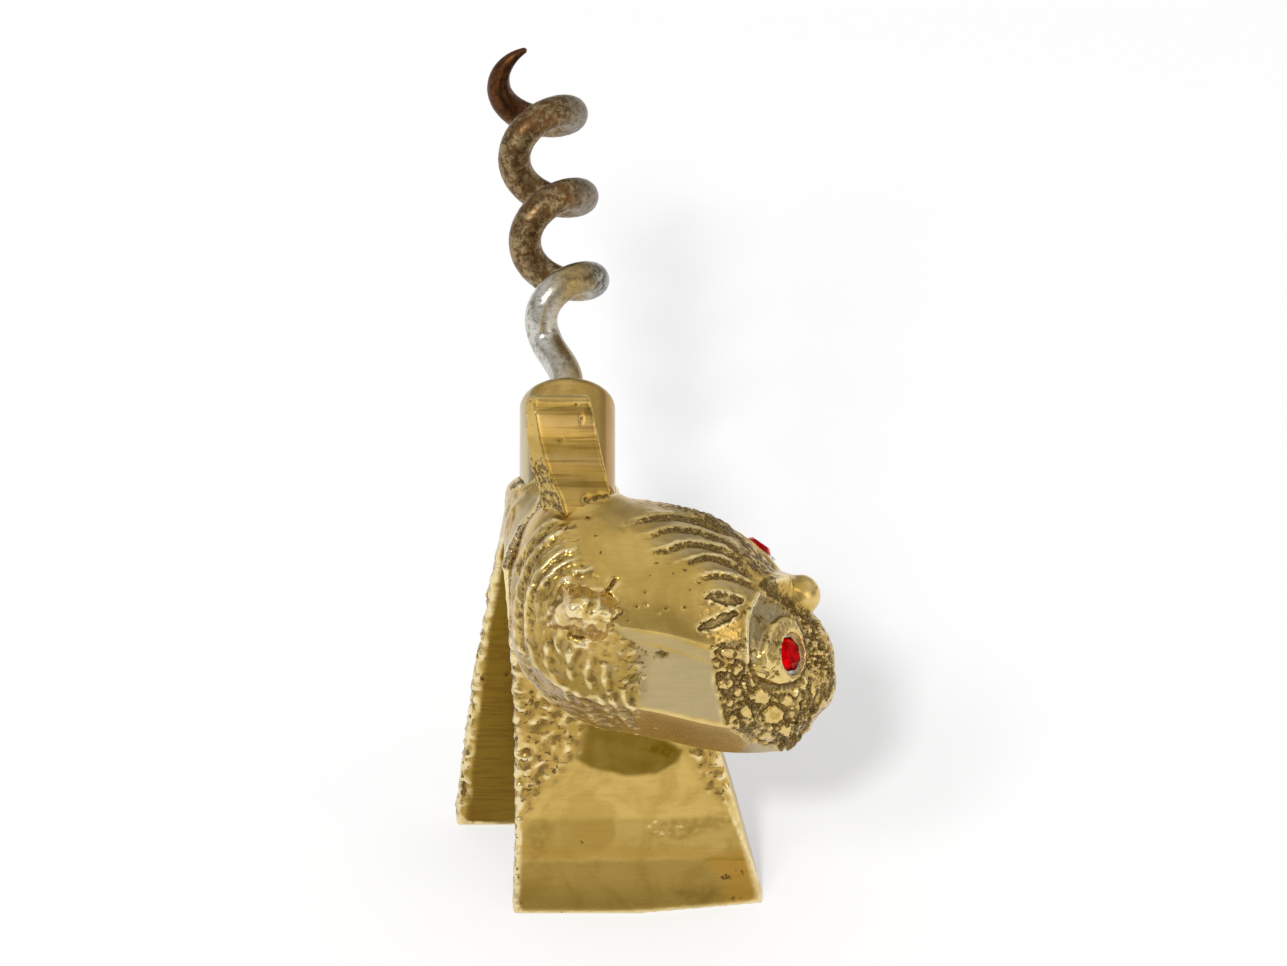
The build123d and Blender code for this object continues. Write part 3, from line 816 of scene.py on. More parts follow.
def make_head():
    obj = copy_of("head", HEAD_VOXEL)
    soften(obj, 4)
    lie_flat(obj, "head", 4.0)
    melt_nose(obj)
    points, normals = read_shape(obj)
    from_front = np.linalg.norm(points - FRONT_EYE, axis=1)
    from_rear = np.linalg.norm(points - REAR_EYE, axis=1)
    # What the photograph doesn't show of the far side is the near side's mirror image, and so is the far eye
    far = (points - FACE_POINT) @ FACE_ACROSS > 0
    far &= (normals @ TO_CAMERA < 0.02) | (from_rear < 6.0)
    near_points = np.where(far[:, None], mirror_face(points), points)
    turned = np.where(far[:, None], mirror_face(normals, 0.0), normals) @ TO_CAMERA
    pixels = photo_pixels(near_points)
    facing = most(ease(turned, -0.35, -0.05), ease(spots(photo_pixels(points), CHIN_SIDE), 0.1, 0.4))
    wobble = field(near_points, 1.1, 3.0, 2)
    grain = field(near_points, 0.55, 11.0, 3)
    broad = field(near_points, 1.6, 17.0, 3)
    fine = field(near_points, 0.34, 19.0, 2)
    marks = carve_stripes(pixels, wobble, grain)
    marks.add(carve_nose(pixels, wobble, grain))
    marks.add(carve_cheek(pixels, wobble, grain, broad))
    marks.add(carve_muzzle(pixels, wobble, grain))
    eye, cut = carve_eye(pixels, wobble, grain)
    marks.fade(1 - cut)
    marks.add(eye)
    # A fine cast skin and small pits on the face and brow
    skin = most(inside(pixels, FACE_AREA, 4.0), inside(pixels, BROW_AREA, 4.0))
    pit = bell(cells(near_points, 0.75, 5.0), 0.20) * (broad < 0.35)
    marks.move += skin * (0.05 * grain - 0.08 * pit)
    marks.stain(skin * 0.9 * pit, skin * 0.75 * ease(-broad, 0.05, 0.6) * ease(grain, 0.6, -0.4))
    bridge = inside(pixels, BRIDGE_AREA, 4.0)
    marks.stain(bridge * (0.55 - 0.7 * grain - 0.3 * wobble))
    marks.move += 0.06 * bridge * grain
    # The stones' seats stay as they are
    marks.move *= ease(from_front, 2.30, 2.60) * ease(from_rear, 2.35, 2.75)
    # The brow is lower before the far eye, whose stone shows over it
    low = far * bell(from_rear, 4.5)
    marks.move -= 0.25 * low + (marks.move > 0) * marks.move * low
    marks.move -= 0.95 * spots(pixels, CHIN_TRIM)
    marks.move += 0.45 * bell(line_distance(pixels, EAR_ROOT), 5.0)
    fur = most(inside(pixels, FUR_AREA, 6.0), bell(line_distance(pixels, CRACK), 5.0))
    marks.add(carve_fur(pixels, broad, grain, fine), fur)
    spot = bell(oval(pixels, *FACET_SPOT), 7.5)
    pit = spots(pixels, CROWN_PITS) * ~far
    marks.move += spot * (0.20 * grain - 0.10)
    marks.move -= 0.07 * pit
    marks.stain(spot * ease(-grain, -0.1, 0.4), pit)
    marks.move *= facing
    marks.dark *= facing
    # Low dents where the crown was polished by hand, and a few deep pits
    marks.move += 0.018 * field(points * (0.4, 1.0, 1.0), 4.0, 23.0, 2)
    pit = bell(cells(points, 3.4, 31.0), 0.05)
    marks.move -= 0.12 * pit
    marks.stain(0.8 * pit)
    # The unseen neck side keeps a cast skin
    marks.move += 0.05 * ease(turned, -0.15, -0.40) * grain
    write_points(obj, points + normals * marks.move[:, None])
    lid = inside(pixels, EYE_LID, 2.0)
    # A painted highlight on the lid
    hollow = hollow_shade(obj) - 0.016 * lid
    # Painted highlights on the fur's knobs
    hollow -= 0.06 * fur * spots(pixels, FUR_HIGHLIGHT_KNOBS) * ease(grain, -0.6, 0.2)
    # The painted highlights stay weaker on the lid, the cheek's knobs and the muzzle
    knobs = most(inside(pixels, CHEEK_AREA, 2.5), inside(pixels, MUZZLE_AREA, 4.0))
    hollow = most(hollow, 0.012 * lid - HEAD_HOLLOW, 0.020 * knobs - HEAD_HOLLOW)
    silver = most(patches(pixels, SILVER_AND_SHEEN_AREAS), marks.pale * (1 - 0.9 * lid)) * facing
    x, y = pixels.T
    lower = ease(y - (CHIN_LINE[1] + CHIN_SLOPE * (x - CHIN_LINE[0])), 0, 5)
    chin_tone = 0.30 * lower * ease(x, *CHIN_ENDS[0]) * ease(x, *CHIN_ENDS[1])
    keep_values(
        obj, hollow=hollow / HEAD_HOLLOW, patina=marks.dark, rough=most(skin, fur) * facing,
        tone=facing * most(chin_tone, fur * patches(pixels, FUR_SHADE, 2.0 * broad)),
        silver=silver * (1 - marks.dark),
        warm=facing * (0.30 * ease(broad, 0.1, 0.8) * most(fur, skin) + 0.15),
    )
    return obj


# Patches of the legs' rough skin and of what tints the plates, each with its soft edge and strength
LEG_PATCHES = (
    (((505, 680), (560, 696), (585, 722), (578, 752), (560, 775), (540, 792), (528, 812),
      (512, 830)), 8.0, 1.0),
    (((686, 748), (722, 748), (733, 795), (724, 806), (706, 790), (692, 770)), 6.0, 0.9),
)
# Painted shade on the front plate: a dark reflection of the head's underside
HEAD_SHADE = (
    (((572, 726), (600, 722), (630, 732), (668, 741), (682, 750), (677, 764), (655, 775), (625, 777),
      (590, 768), (572, 758)), 2.5, 0.86),
)
PLATE_SMEARS = (
    (((658, 822), (690, 818), (727, 811), (736, 817), (716, 832), (680, 841), (662, 838)), 4.0, 1.0),
    (((527, 820), (552, 824), (546, 850), (530, 868)), 5.0, 0.7),
    (((640, 748), (664, 744), (682, 752), (668, 758)), 3.0, 0.8),
    (((672, 892), (712, 886), (724, 902), (690, 910)), 5.0, 0.5),
    (((574, 765), (600, 772), (590, 780), (565, 772)), 5.0, 0.5),
)
PLATE_RUST = (
    (((704, 858), (752, 850), (770, 908), (716, 914), (726, 890)), 9.0, 1.0),
    (((516, 846), (712, 846), (712, 860), (516, 860)), 3.0, 0.5),
    (((566, 826), (612, 822), (622, 846), (576, 850)), 8.0, 0.4),
    (((566, 775), (590, 778), (590, 800), (560, 800)), 9.0, 0.3),
)
STAINS = (
    (727, 880, 12, 5), (741, 873, 8, 4), (735, 900, 9, 3), (580, 844, 4, 3), (540, 788, 3, 2),
    (530, 786, 2, 2),
)
FLAW = ((462, 793, 3.5, 9.0),)
# Painted highlights: bright spots on the front plate, and bright lines along the plates' edges
PLATE_GLINT_SPOTS = ((648, 828, 4, 2.5), (662, 834, 9, 2.5), (680, 828, 6, 2), (655, 823, 3, 2))
FRONT_EDGE_HIGHLIGHT = (
    (545, 762), (530, 770), (523, 777), (518, 799), (516, 823), (521, 840), (517, 862), (517, 903),
    (521, 915), (560, 916), (640, 914), (700, 911), (761, 904), (764, 895), (754, 868), (736, 826),
    (722, 792),
)
# The plates get darker below these rows, a painted reflection of a darker floor: by how much, and where that
# begins and ends
PLATE_ROWS = ((0.26, 817, 822), (0.24, 860, 864), (0.12, 880, 900))
PLATE_MIDDLE_X = 640
RUST_ROW = 862
# Painted highlight lines along the rear plate's edges
REAR_EDGE_HIGHLIGHTS = (
    ((478, 610), (474, 645), (471, 682), (468, 705), (467, 730), (465, 770)),
    ((456, 800), (457, 818), (466, 825), (486, 827), (512, 828)),
)
# The plates' left edges: their x in millimetres at the floor, and how much they lean to the right
REAR_LEFT, REAR_LEAN = -19.7, 0.105
FRONT_LEFT, FRONT_LEAN = -13.5, 0.02


def make_legs():
    obj = copy_of("leg_arch", LEGS_VOXEL)
    soften(obj, 3)
    round_edges(obj, 10, below=34.0)
    points, normals = read_shape(obj)
    height = points[:, 2]
    behind = points[:, 1] > LEGS_MIDDLE_Y + 3.0 * ease(height, 38, 42)
    # The rear plate repeats the front one
    front = points.copy()
    front[behind, 1] = 2 * LEGS_MIDDLE_Y - front[behind, 1]
    own_pixels = photo_pixels(points)
    pixels = photo_pixels(front)
    off_floor = ease(height, 0.3, 1.2)
    grain = field(points, 0.6, 41.0, 3)
    broad = field(points, 1.7, 43.0, 3)
    knobby = 0.30 * field(points, 0.95, 45.0, 2) + 0.26 * (0.5 - cells(points, 1.1, 47.0))
    # Uneven edges at the left
    left = np.where(behind, REAR_LEFT + height * REAR_LEAN, FRONT_LEFT + height * FRONT_LEAN)
    edge_left = 1 - ease(points[:, 0] - left, 0.3, np.where(behind, 1.4, 1.2))
    upper = np.where(behind, 1.0, 0.35 + 0.65 * ease(height, 9, 15))
    scallop = upper * (0.13 * np.sin(height * 3.1 + 4.0 * broad) + 0.20 * broad + 0.02 * grain)
    outer = np.where(behind, normals[:, 1] > 0.3, normals[:, 1] < -0.3).astype(float)
    patch = patches(pixels, LEG_PATCHES) * outer
    # The round back with its ridges of fur
    back = ease(height, 33.0, 38.0)
    calm = inside(pixels, CALM_PATCH, 5.0)
    ridges = 0.05 * swirl(pixels + 2.0 * broad[:, None], 8.0, 34.0, 6.5) + 0.10 * broad
    # A painted reflection on the calm patch, and paler crests on the fur
    pale = 0.75 * calm
    for line in FUR_ARCS:
        rise, crest, _ = fur_ridge(pixels, line, 1.2 * broad, 0.28, 2.8)
        ridges += rise
        pale = most(pale, crest)
    seam = np.zeros(len(points))
    for line in JOINS:
        gap = line_distance(own_pixels, line)
        ridges += 0.55 * bell(gap, 5.0)
        seam = most(seam, 0.75 * bell(gap, 3.5))
    shown = np.where(behind, 1.0, ease(normals @ TO_CAMERA, -0.2, 0.2))
    below = edge_left * (1 - back)
    move = (below * scallop + patch * knobby * (1 - back)) * off_floor
    move += back * shown * ridges * (1 - 0.5 * calm)
    # Brushing leaves the plates a little uneven, along x
    move += 0.006 * field(points * (0.2, 1.0, 1.0), 3.2, 53.0, 2) * off_floor
    pit = bell(cells(points, 4.0, 59.0), 0.045)
    small_pit = bell(cells(points, 1.0, 61.0), 0.19) * most(patch, 0.7 * below) * (broad < -0.05)
    move -= (0.10 * pit + 0.22 * small_pit) * off_floor
    flaw = spots(own_pixels, FLAW) * behind * (1 - outer)
    move -= 0.35 * flaw
    new = points + normals * move[:, None]
    new[:, 2] = np.maximum(new[:, 2], 0.0)
    write_points(obj, new)
    hollow = 1.3 * hollow_shade(obj, 4)
    stain = spots(pixels, STAINS) * outer * ease(grain, -0.35, 0.15)
    dark = most(0.8 * pit, 0.7 * small_pit, 0.75 * stain, flaw)
    dark = most(dark, 0.75 * most(patch, below) * ease(-grain, 0.10, 0.55))
    dark = most(dark, back * shown * most(0.55 * ease(-ridges, 0.08, 0.3), seam))
    row = pixels[:, 1] + 1.5 * broad + 0.02 * (pixels[:, 0] - PLATE_MIDDLE_X)
    plate = sum(tone * ease(row, start, end) for tone, start, end in PLATE_ROWS)
    smear = patches(pixels, PLATE_SMEARS, 3.0 * broad) * ease(grain, -0.8, 0.3)
    # The head's painted dark reflection on the front plate
    head_reflection = ~behind * patches(pixels, HEAD_SHADE, 1.5 * broad) * (0.99 + 0.10 * broad)
    warm = patches(pixels, PLATE_RUST, 3.0 * broad) * outer
    tone = most(plate, head_reflection) + 0.28 * smear
    tone = tone * outer * (1 - patch) * (1 - 0.6 * warm * (pixels[:, 1] > RUST_ROW))
    # Painted highlights: bright specks and lines along the edges
    hollow -= 0.06 * spots(pixels, PLATE_GLINT_SPOTS) * outer * ~behind * ease(grain, -0.5, 0.3)
    gap = line_distance(pixels, FRONT_EDGE_HIGHLIGHT)
    hollow -= 0.07 * bell(gap + 0.8 * broad, 1.3) * (0.7 + 0.9 * grain) * (height < 20) * ~behind
    for line in REAR_EDGE_HIGHLIGHTS:
        gap = line_distance(own_pixels, line)
        hollow -= 0.08 * bell(gap + 0.8 * broad, 1.2) * (0.8 + 0.9 * grain) * behind
    inner = (1 - outer) * (np.abs(normals[:, 1]) > 0.5) * (1 - below)
    tone = most(tone, 0.32 * most(below, 0.5 * patch) * (1 - back), 0.84 * inner)
    keep_values(
        obj, hollow=hollow / LEGS_HOLLOW, patina=dark,
        rough=most(below, patch, back * (1 - calm)) - inner * (1 - back),
        tone=tone, silver=back * pale, warm=most(warm, 0.25 * patch + 0.10, 0.6 * inner),
    )
    return obj


EAR_CREASE = ((533, 411), (560, 407), (598, 403))
EAR_BEVEL = ((592, 400), (602, 420), (611, 452), (621, 490))
EAR_PITS = ((582, 419, 1.6, 4), (591, 408, 3, 3), (595, 415, 2, 4), (577, 405, 2, 1.5), (562, 440, 2, 1.4))
EAR_CREVICE = ((588, 500), (600, 497), (612, 496), (622, 500))
# How far the left edge leans out and how much its side is cut back, in millimetres, at rows of pixels
EAR_LEAN = ((394, 398, 404, 412, 440, 470, 500), (-0.70, -0.10, 0.35, 0.50, 0.70, 0.50, -0.10))
EAR_NARROW = ((400, 416, 440, 470), (0.20, 0.35, 0.25, 0.10))
# A place on the ear's right edge, how that edge leans, and the ear's width, in pixels
EAR_RIGHT = (598, 400)
EAR_RIGHT_LEAN = 0.22
EAR_WIDTH = 60
EAR_MIDDLE_X = 570
EAR_STAIN_ROWS = (440, 475)
# The ear's bands over its face: strength, row and width in pixels
EAR_DIPS = ((0.22, 455, 30.0),)
# The shine bands are painted highlights across the face
EAR_PAINTED_SHINES = ((0.5, 424, 15.0), (0.45, 399, 5.0))
EAR_TONES = ((0.44, 449, 9.0), (0.26, 482, 9.0), (0.30, 409, 3.5))
EAR_WARMS = ((0.45, 428, 9.0), (0.25, 470, 8.0))
EAR_SILVERS = ((0.3, 458, 5.0),)


def bands(row, table):
    return sum(strength * bell(row - middle, width) for strength, middle, width in table)


def make_rear_ear():
    obj = copy_of("rear_ear", EAR_VOXEL)
    soften(obj, 2)
    lie_flat(obj, "rear_ear", 1.0)
    round_edges(obj, 22)
    points = read_points(obj)
    pixels = photo_pixels(points)
    # Its left edge leans as the photograph's does
    from_right = EAR_RIGHT[0] + EAR_RIGHT_LEAN * (pixels[:, 1] - EAR_RIGHT[1]) - pixels[:, 0]
    points[:, 0] -= np.interp(pixels[:, 1], *EAR_LEAN) * np.clip(from_right / EAR_WIDTH, 0, 1)
    write_points(obj, points)
    normals = read_vectors(obj, "normal")
    pixels = photo_pixels(points)
    grain = field(points, 0.6, 61.0, 3)
    broad = field(points, 1.8, 67.0, 2)
    side = ease(-normals[:, 0], 0.45, 0.8)
    face = ease(normals @ TO_CAMERA, 0.5, 0.8)
    move = side * (0.06 * broad + 0.02 * grain - np.interp(pixels[:, 1], *EAR_NARROW))
    move -= 0.12 * face * bell(line_distance(pixels, EAR_CREASE), 2.5)
    move -= 0.16 * face * ease(line_distance(pixels, EAR_BEVEL), 4.0, 0.0)
    # The face dips a little in its middle, so that it shines in bands
    move -= face * bands(pixels[:, 1], EAR_DIPS)
    pit = spots(pixels, EAR_PITS) * face
    crevice = bell(line_distance(pixels, EAR_CREVICE) + 2.0 * broad, 3.6)
    move -= 0.14 * pit + 0.25 * crevice
    write_points(obj, points + normals * move[:, None])
    row = pixels[:, 1] - 0.06 * (pixels[:, 0] - EAR_MIDDLE_X) + 2.0 * broad
    stain = side * ease(pixels[:, 1], *EAR_STAIN_ROWS) * (0.6 - 0.6 * grain)
    keep_values(
        obj, hollow=hollow_shade(obj) / EAR_HOLLOW * (1 - 0.9 * face) - face * bands(row, EAR_PAINTED_SHINES),
        patina=most(0.7 * pit, 0.9 * crevice * (0.9 - 0.5 * grain), stain), rough=0.3 * side - face,
        tone=face * bands(row, EAR_TONES), silver=face * bands(row, EAR_SILVERS),
        warm=face * (0.30 + bands(row, EAR_WARMS)),
    )
    return obj


def make_front_ear():
    obj = copy_of("front_ear", EAR_VOXEL)
    soften(obj, 4)
    round_edges(obj, 60)
    points, normals = read_shape(obj)
    # The lump is seen along its length, and its knobs run that way
    flat = points - 0.85 * (points @ TO_CAMERA)[:, None] * TO_CAMERA
    grain = field(flat, 0.9, 73.0, 2)
    move = 0.25 + 0.50 * field(flat, 1.7, 79.0, 2) + 0.34 * grain
    write_points(obj, points + normals * move[:, None])
    soften(obj, 3)
    # Painted highlights on the lump's knobs
    bright = spots(photo_pixels(read_points(obj)), FUR_HIGHLIGHT_KNOBS) * ease(grain, -0.6, 0.2)
    hollow = hollow_shade(obj) - 0.06 * bright
    patina = 0.6 * ease(hollow, 0.02, 0.05)
    keep_values(obj, hollow=hollow / HEAD_HOLLOW, patina=patina, rough=1.0, tone=0.0, silver=0.0, warm=0.0)
    return obj


# The worm, in millimetres: the ferrule that holds it, its helix, its wire and its point
FERRULE_BASE = np.array([-7.5, 14.5, 45.0])
FERRULE_LENGTH = 11.1
FERRULE_RISE = math.radians(24.9)
FERRULE_WAY = np.array([0.0, math.cos(FERRULE_RISE), math.sin(FERRULE_RISE)])
FERRULE_END = FERRULE_BASE + FERRULE_LENGTH * FERRULE_WAY
WORM_RISE, WORM_SWING = math.radians(17.7), math.radians(6.0)
WORM_WAY = np.array([
    -math.sin(WORM_SWING) * math.cos(WORM_RISE),
    math.cos(WORM_SWING) * math.cos(WORM_RISE),
    math.sin(WORM_RISE),
])
WORM_START = FERRULE_END + np.array([0.95, 0.0, 0.0])
WORM_SIDE = unit(np.array([1.0, 0.0, 0.0]) - WORM_WAY * WORM_WAY[0])
WORM_DROP = np.cross(WORM_WAY, WORM_SIDE)
WIRE_RADIUS, WORM_RADIUS, WORM_PITCH = 1.76, 3.42, 11.8
FIRST_TURN, LAST_TURN, POINT_TURN = -0.5, 2.0, 0.71
SMALL_TURN = 0.01
# Where the helix begins, and how the first and the last half turn leave its radius and pitch
WORM_LEAD = 10.3
LEAD_RADIUS = 2.75
POINT_RADIUS = 4.1
POINT_PULL = 4.3
TIP_RADIUS, TIP_LENGTH = 0.3, 0.2
# How far the shank reaches into the ferrule and out of it, and how widely it bends into the helix
SHANK_IN, SHANK_OUT = 7.8, 1.2
BEND_PULL = 1.15
SHANK_STEPS, BEND_STEPS, TURN_STEPS, TUBE_SIDES = 24, 40, 420, 40


def worm_point(turn):
    along = WORM_LEAD + WORM_PITCH * (turn - FIRST_TURN)
    radius = WORM_RADIUS
    if turn < 0:
        radius = WORM_RADIUS - (WORM_RADIUS - LEAD_RADIUS) * (turn / FIRST_TURN) ** 2
    past = turn - LAST_TURN
    if past > 0:
        along -= POINT_PULL * past * past
        radius = WORM_RADIUS + (POINT_RADIUS - WORM_RADIUS) * math.sin(min(past, 0.5) * math.pi)
    angle = 2 * math.pi * turn
    place = WORM_START + WORM_WAY * along
    return place + WORM_SIDE * (radius * math.cos(angle)) + WORM_DROP * (radius * math.sin(angle))


def hermite(a, way_a, b, way_b, count):
    """Places on a smooth bend that leaves one point and reaches another along given ways."""
    t = np.linspace(0, 1, count, endpoint=False)[:, None]
    bend = (2 * t**3 - 3 * t**2 + 1) * a + (t**3 - 2 * t**2 + t) * way_a
    return bend + (3 * t**2 - 2 * t**3) * b + (t**3 - t**2) * way_b


def worm_path():
    """The middle line of the worm, from inside the ferrule to its point, and the wire's radius along it."""
    shank_in = FERRULE_END - FERRULE_WAY * SHANK_IN
    shank_out = FERRULE_END + FERRULE_WAY * SHANK_OUT
    start = worm_point(FIRST_TURN)
    start_way = unit(worm_point(FIRST_TURN + SMALL_TURN) - worm_point(FIRST_TURN - SMALL_TURN))
    span = np.linalg.norm(start - shank_out)
    out_way, start_way = FERRULE_WAY * span * BEND_PULL, start_way * span * BEND_PULL
    path = [shank_in + (shank_out - shank_in) * s for s in np.linspace(0, 1, SHANK_STEPS, endpoint=False)]
    path += list(hermite(shank_out, out_way, start, start_way, BEND_STEPS))
    turns = np.linspace(FIRST_TURN, LAST_TURN + POINT_TURN, TURN_STEPS)
    path += [worm_point(turn) for turn in turns]
    past = np.clip((turns - LAST_TURN) / POINT_TURN, 0, 1)
    pointed = WIRE_RADIUS - (WIRE_RADIUS - TIP_RADIUS) * past**3
    return np.array(path), np.append(np.full(SHANK_STEPS + BEND_STEPS, WIRE_RADIUS), pointed)


def circle(centre, across, up, radius, count, shift=0.0):
    """Points on a circle, turned by a part of one step."""
    angles = [2 * math.pi * (step + shift) / count for step in range(count)]
    return [centre + radius * (across * math.cos(a) + up * math.sin(a)) for a in angles]


def tube(path, radii):
    """The points and faces of a round tube along a path, closed by a flat start and a pointed end."""
    ways = np.gradient(path, axis=0)
    ways /= np.linalg.norm(ways, axis=1)[:, None]
    side = unit(np.cross(ways[0], (1.0, 0.0, 0.0)))
    vertices, faces = [], []
    for place, way, radius in zip(path, ways, radii):
        side = unit(side - way * (side @ way))
        vertices += circle(place, side, np.cross(way, side), radius, TUBE_SIDES)
    tip = len(vertices)
    last = tip - TUBE_SIDES
    vertices.append(path[-1] + ways[-1] * TIP_LENGTH)
    steps = [(step, (step + 1) % TUBE_SIDES) for step in range(TUBE_SIDES)]
    for a in range(0, last, TUBE_SIDES):
        b = a + TUBE_SIDES
        faces += [(a + step, a + after, b + after, b + step) for step, after in steps]
    faces.append(tuple(range(TUBE_SIDES - 1, -1, -1)))
    faces += [(last + step, last + after, tip) for step, after in steps]
    return vertices, faces


def make_worm():
    """The steel worm as one tapered tube: its shank in the ferrule, its turns and its hooked point."""
    path, radii = worm_path()
    obj = mesh_object("steel_worm", *tube(path, radii))
    shade_smooth(obj.data)
    points, normals = read_shape(obj)
    ring = np.append(np.repeat(np.arange(len(path)), TUBE_SIDES), len(path) - 1)
    along = ring / len(path)
    scale = np.clip(radii[ring] / WIRE_RADIUS, 0.1, 1)
    grain = field(points, 0.5, 91.0, 3)
    pits = cells(points, 0.9, 97.0)
    worn = 0.35 + 0.65 * ease(along, 0.1, 0.5)
    move = (0.03 * grain - 0.06 * bell(pits, 0.16)) * scale * worn
    write_points(obj, points + normals * move[:, None])
    middle = (points - WORM_START) @ WORM_SIDE
    # The silver value paints a grey highlight along the turns' right, and the warm value runs from the root's
    # painted bright left to its warmer right
    keep_values(
        obj, patina=0.6 * bell(pits, 0.25) + 0.45 * ease(-grain, 0.1, 0.7), silver=ease(middle, 1.5, 4.5),
        warm=ease(middle, -3.2, 0.6), along=along,
    )
    return obj


# The stones, in millimetres: each ring's radius, height over the middle, shift in steps and corners
STONE_SIDES = 8
STONE_RINGS = (
    (1.93, 0.0, 0.0, 2 * STONE_SIDES), (1.62, 0.36, 0.5, STONE_SIDES), (1.08, 0.80, 0.0, STONE_SIDES),
)
STONE_DEPTH = 1.28
FRONT_STONE_WAY = unit([0.77, -0.46, 0.45])


def make_stone(centre, way, name):
    """A foil-backed cut stone with a table, a crown of three rings of facets and a pointed back."""
    across = unit(np.cross(way, (0.0, 0.0, 1.0)))
    up = np.cross(across, way)
    vertices, starts = [], []
    for radius, height, shift, count in STONE_RINGS:
        starts.append(len(vertices))
        vertices += circle(centre + way * height, across, up, radius, count, shift)
    base, middle, top = starts
    tip = len(vertices)
    vertices.append(centre - way * STONE_DEPTH)
    around = 2 * STONE_SIDES
    faces = []
    for k in range(STONE_SIDES):
        mid, mid_before = middle + k, middle + (k - 1) % STONE_SIDES
        table, table_after = top + k, top + (k + 1) % STONE_SIDES
        edge, edge_half, edge_after = (base + (2 * k + step) % around for step in range(3))
        faces += [(edge, edge_half, mid), (edge_half, edge_after, mid), (table, mid, table_after)]
        faces += [(table, mid_before, edge), (table, edge, mid)]
    faces.append(tuple(range(top, tip)))
    faces += [(base + (step + 1) % around, base + step, tip) for step in range(around)]
    obj = mesh_object(name, vertices, faces)
    b = bmesh.new()
    b.from_mesh(obj.data)
    bmesh.ops.recalc_face_normals(b, faces=b.faces)
    b.to_mesh(obj.data)
    b.free()
    return obj


# Materials: their colours in linear red, green and blue
BRASS_LIGHT, BRASS_DEEP = (0.64, 0.445, 0.130), (0.50, 0.340, 0.085)
TURNED_LIGHT, TURNED_DEEP = (0.58, 0.395, 0.125), (0.44, 0.28, 0.075)
BRAZE_LIGHT, BRAZE_DEEP = (0.44, 0.34, 0.18), (0.26, 0.20, 0.11)
RED_BRASS = (0.50, 0.27, 0.045)
CAST_SPOT = (0.30, 0.185, 0.06)
# Pale silvery brass, in places a painted highlight and a painted reflection
PALE_BRASS_AND_SHEEN = (0.43, 0.365, 0.215)
SHADED_BRASS = (0.15, 0.088, 0.004)
# Raised places: a lighter colour, partly rubbed brass and partly painted sheen, and a painted glint on the most
# raised
RUBBED_BRASS_AND_SHEEN = (0.88, 0.68, 0.30)
GLINT = (0.98, 0.86, 0.54)
BRUSH_BROWN = (0.16, 0.075, 0.012)
PATINA_BROWN = (0.088, 0.053, 0.020)
# The ferrule's painted reflections, pale along its left and brown along its right, and its fine lines
FERRULE_LEFT_REFLECTION, FERRULE_RIGHT_REFLECTION, BAND_LINE = (0.62, 0.56, 0.40), (0.40, 0.22, 0.06), (0.40, 0.25, 0.06)
TURN_LIGHT, TURN_DARK, TURN_RUST = (0.34, 0.25, 0.125), (0.135, 0.075, 0.030), (0.15, 0.068, 0.022)
TURN_HIGHLIGHT_GREY = (0.25, 0.225, 0.175)
ROOT_STEEL_AND_HIGHLIGHT, ROOT_WARM, ROOT_SPOT = (0.62, 0.60, 0.54), (0.36, 0.26, 0.11), (0.20, 0.145, 0.07)
SCRATCH_LIGHT, SCRATCH_DARK = (0.34, 0.33, 0.29), (0.07, 0.06, 0.045)
TIP_RUST, TIP_DARK = (0.125, 0.048, 0.016), (0.055, 0.026, 0.012)
STEEL_PIT = (0.045, 0.030, 0.018)
STONE_DEEP, STONE_BRIGHT = (0.38, 0.001, 0.002), (0.92, 0.002, 0.004)
TIN_LIGHT, TIN_DARK = (0.70, 0.69, 0.65), (0.30, 0.25, 0.17)
# How far brush marks are drawn out along x, y and z; the ear's run level over its face
BRUSH_ALONG_X = (0.3, 3.5, 3.5)
EAR_BRUSH = (0.07, 0.07, 2.6)
LINES_WAY = (0.9, 0.06, 0.06)
# The x in millimetres at which the ferrule's left turns pale and its right brown, both painted reflections
FERRULE_LEFT_REFLECTION_X, FERRULE_RIGHT_REFLECTION_X = (-10.9, -11.6), (-4.2, -3.4)
# Depths of the bumps, in metres
BRASS_BUMP, STEEL_BUMP, STONE_BUMP = 0.00004, 0.00005, 0.00002


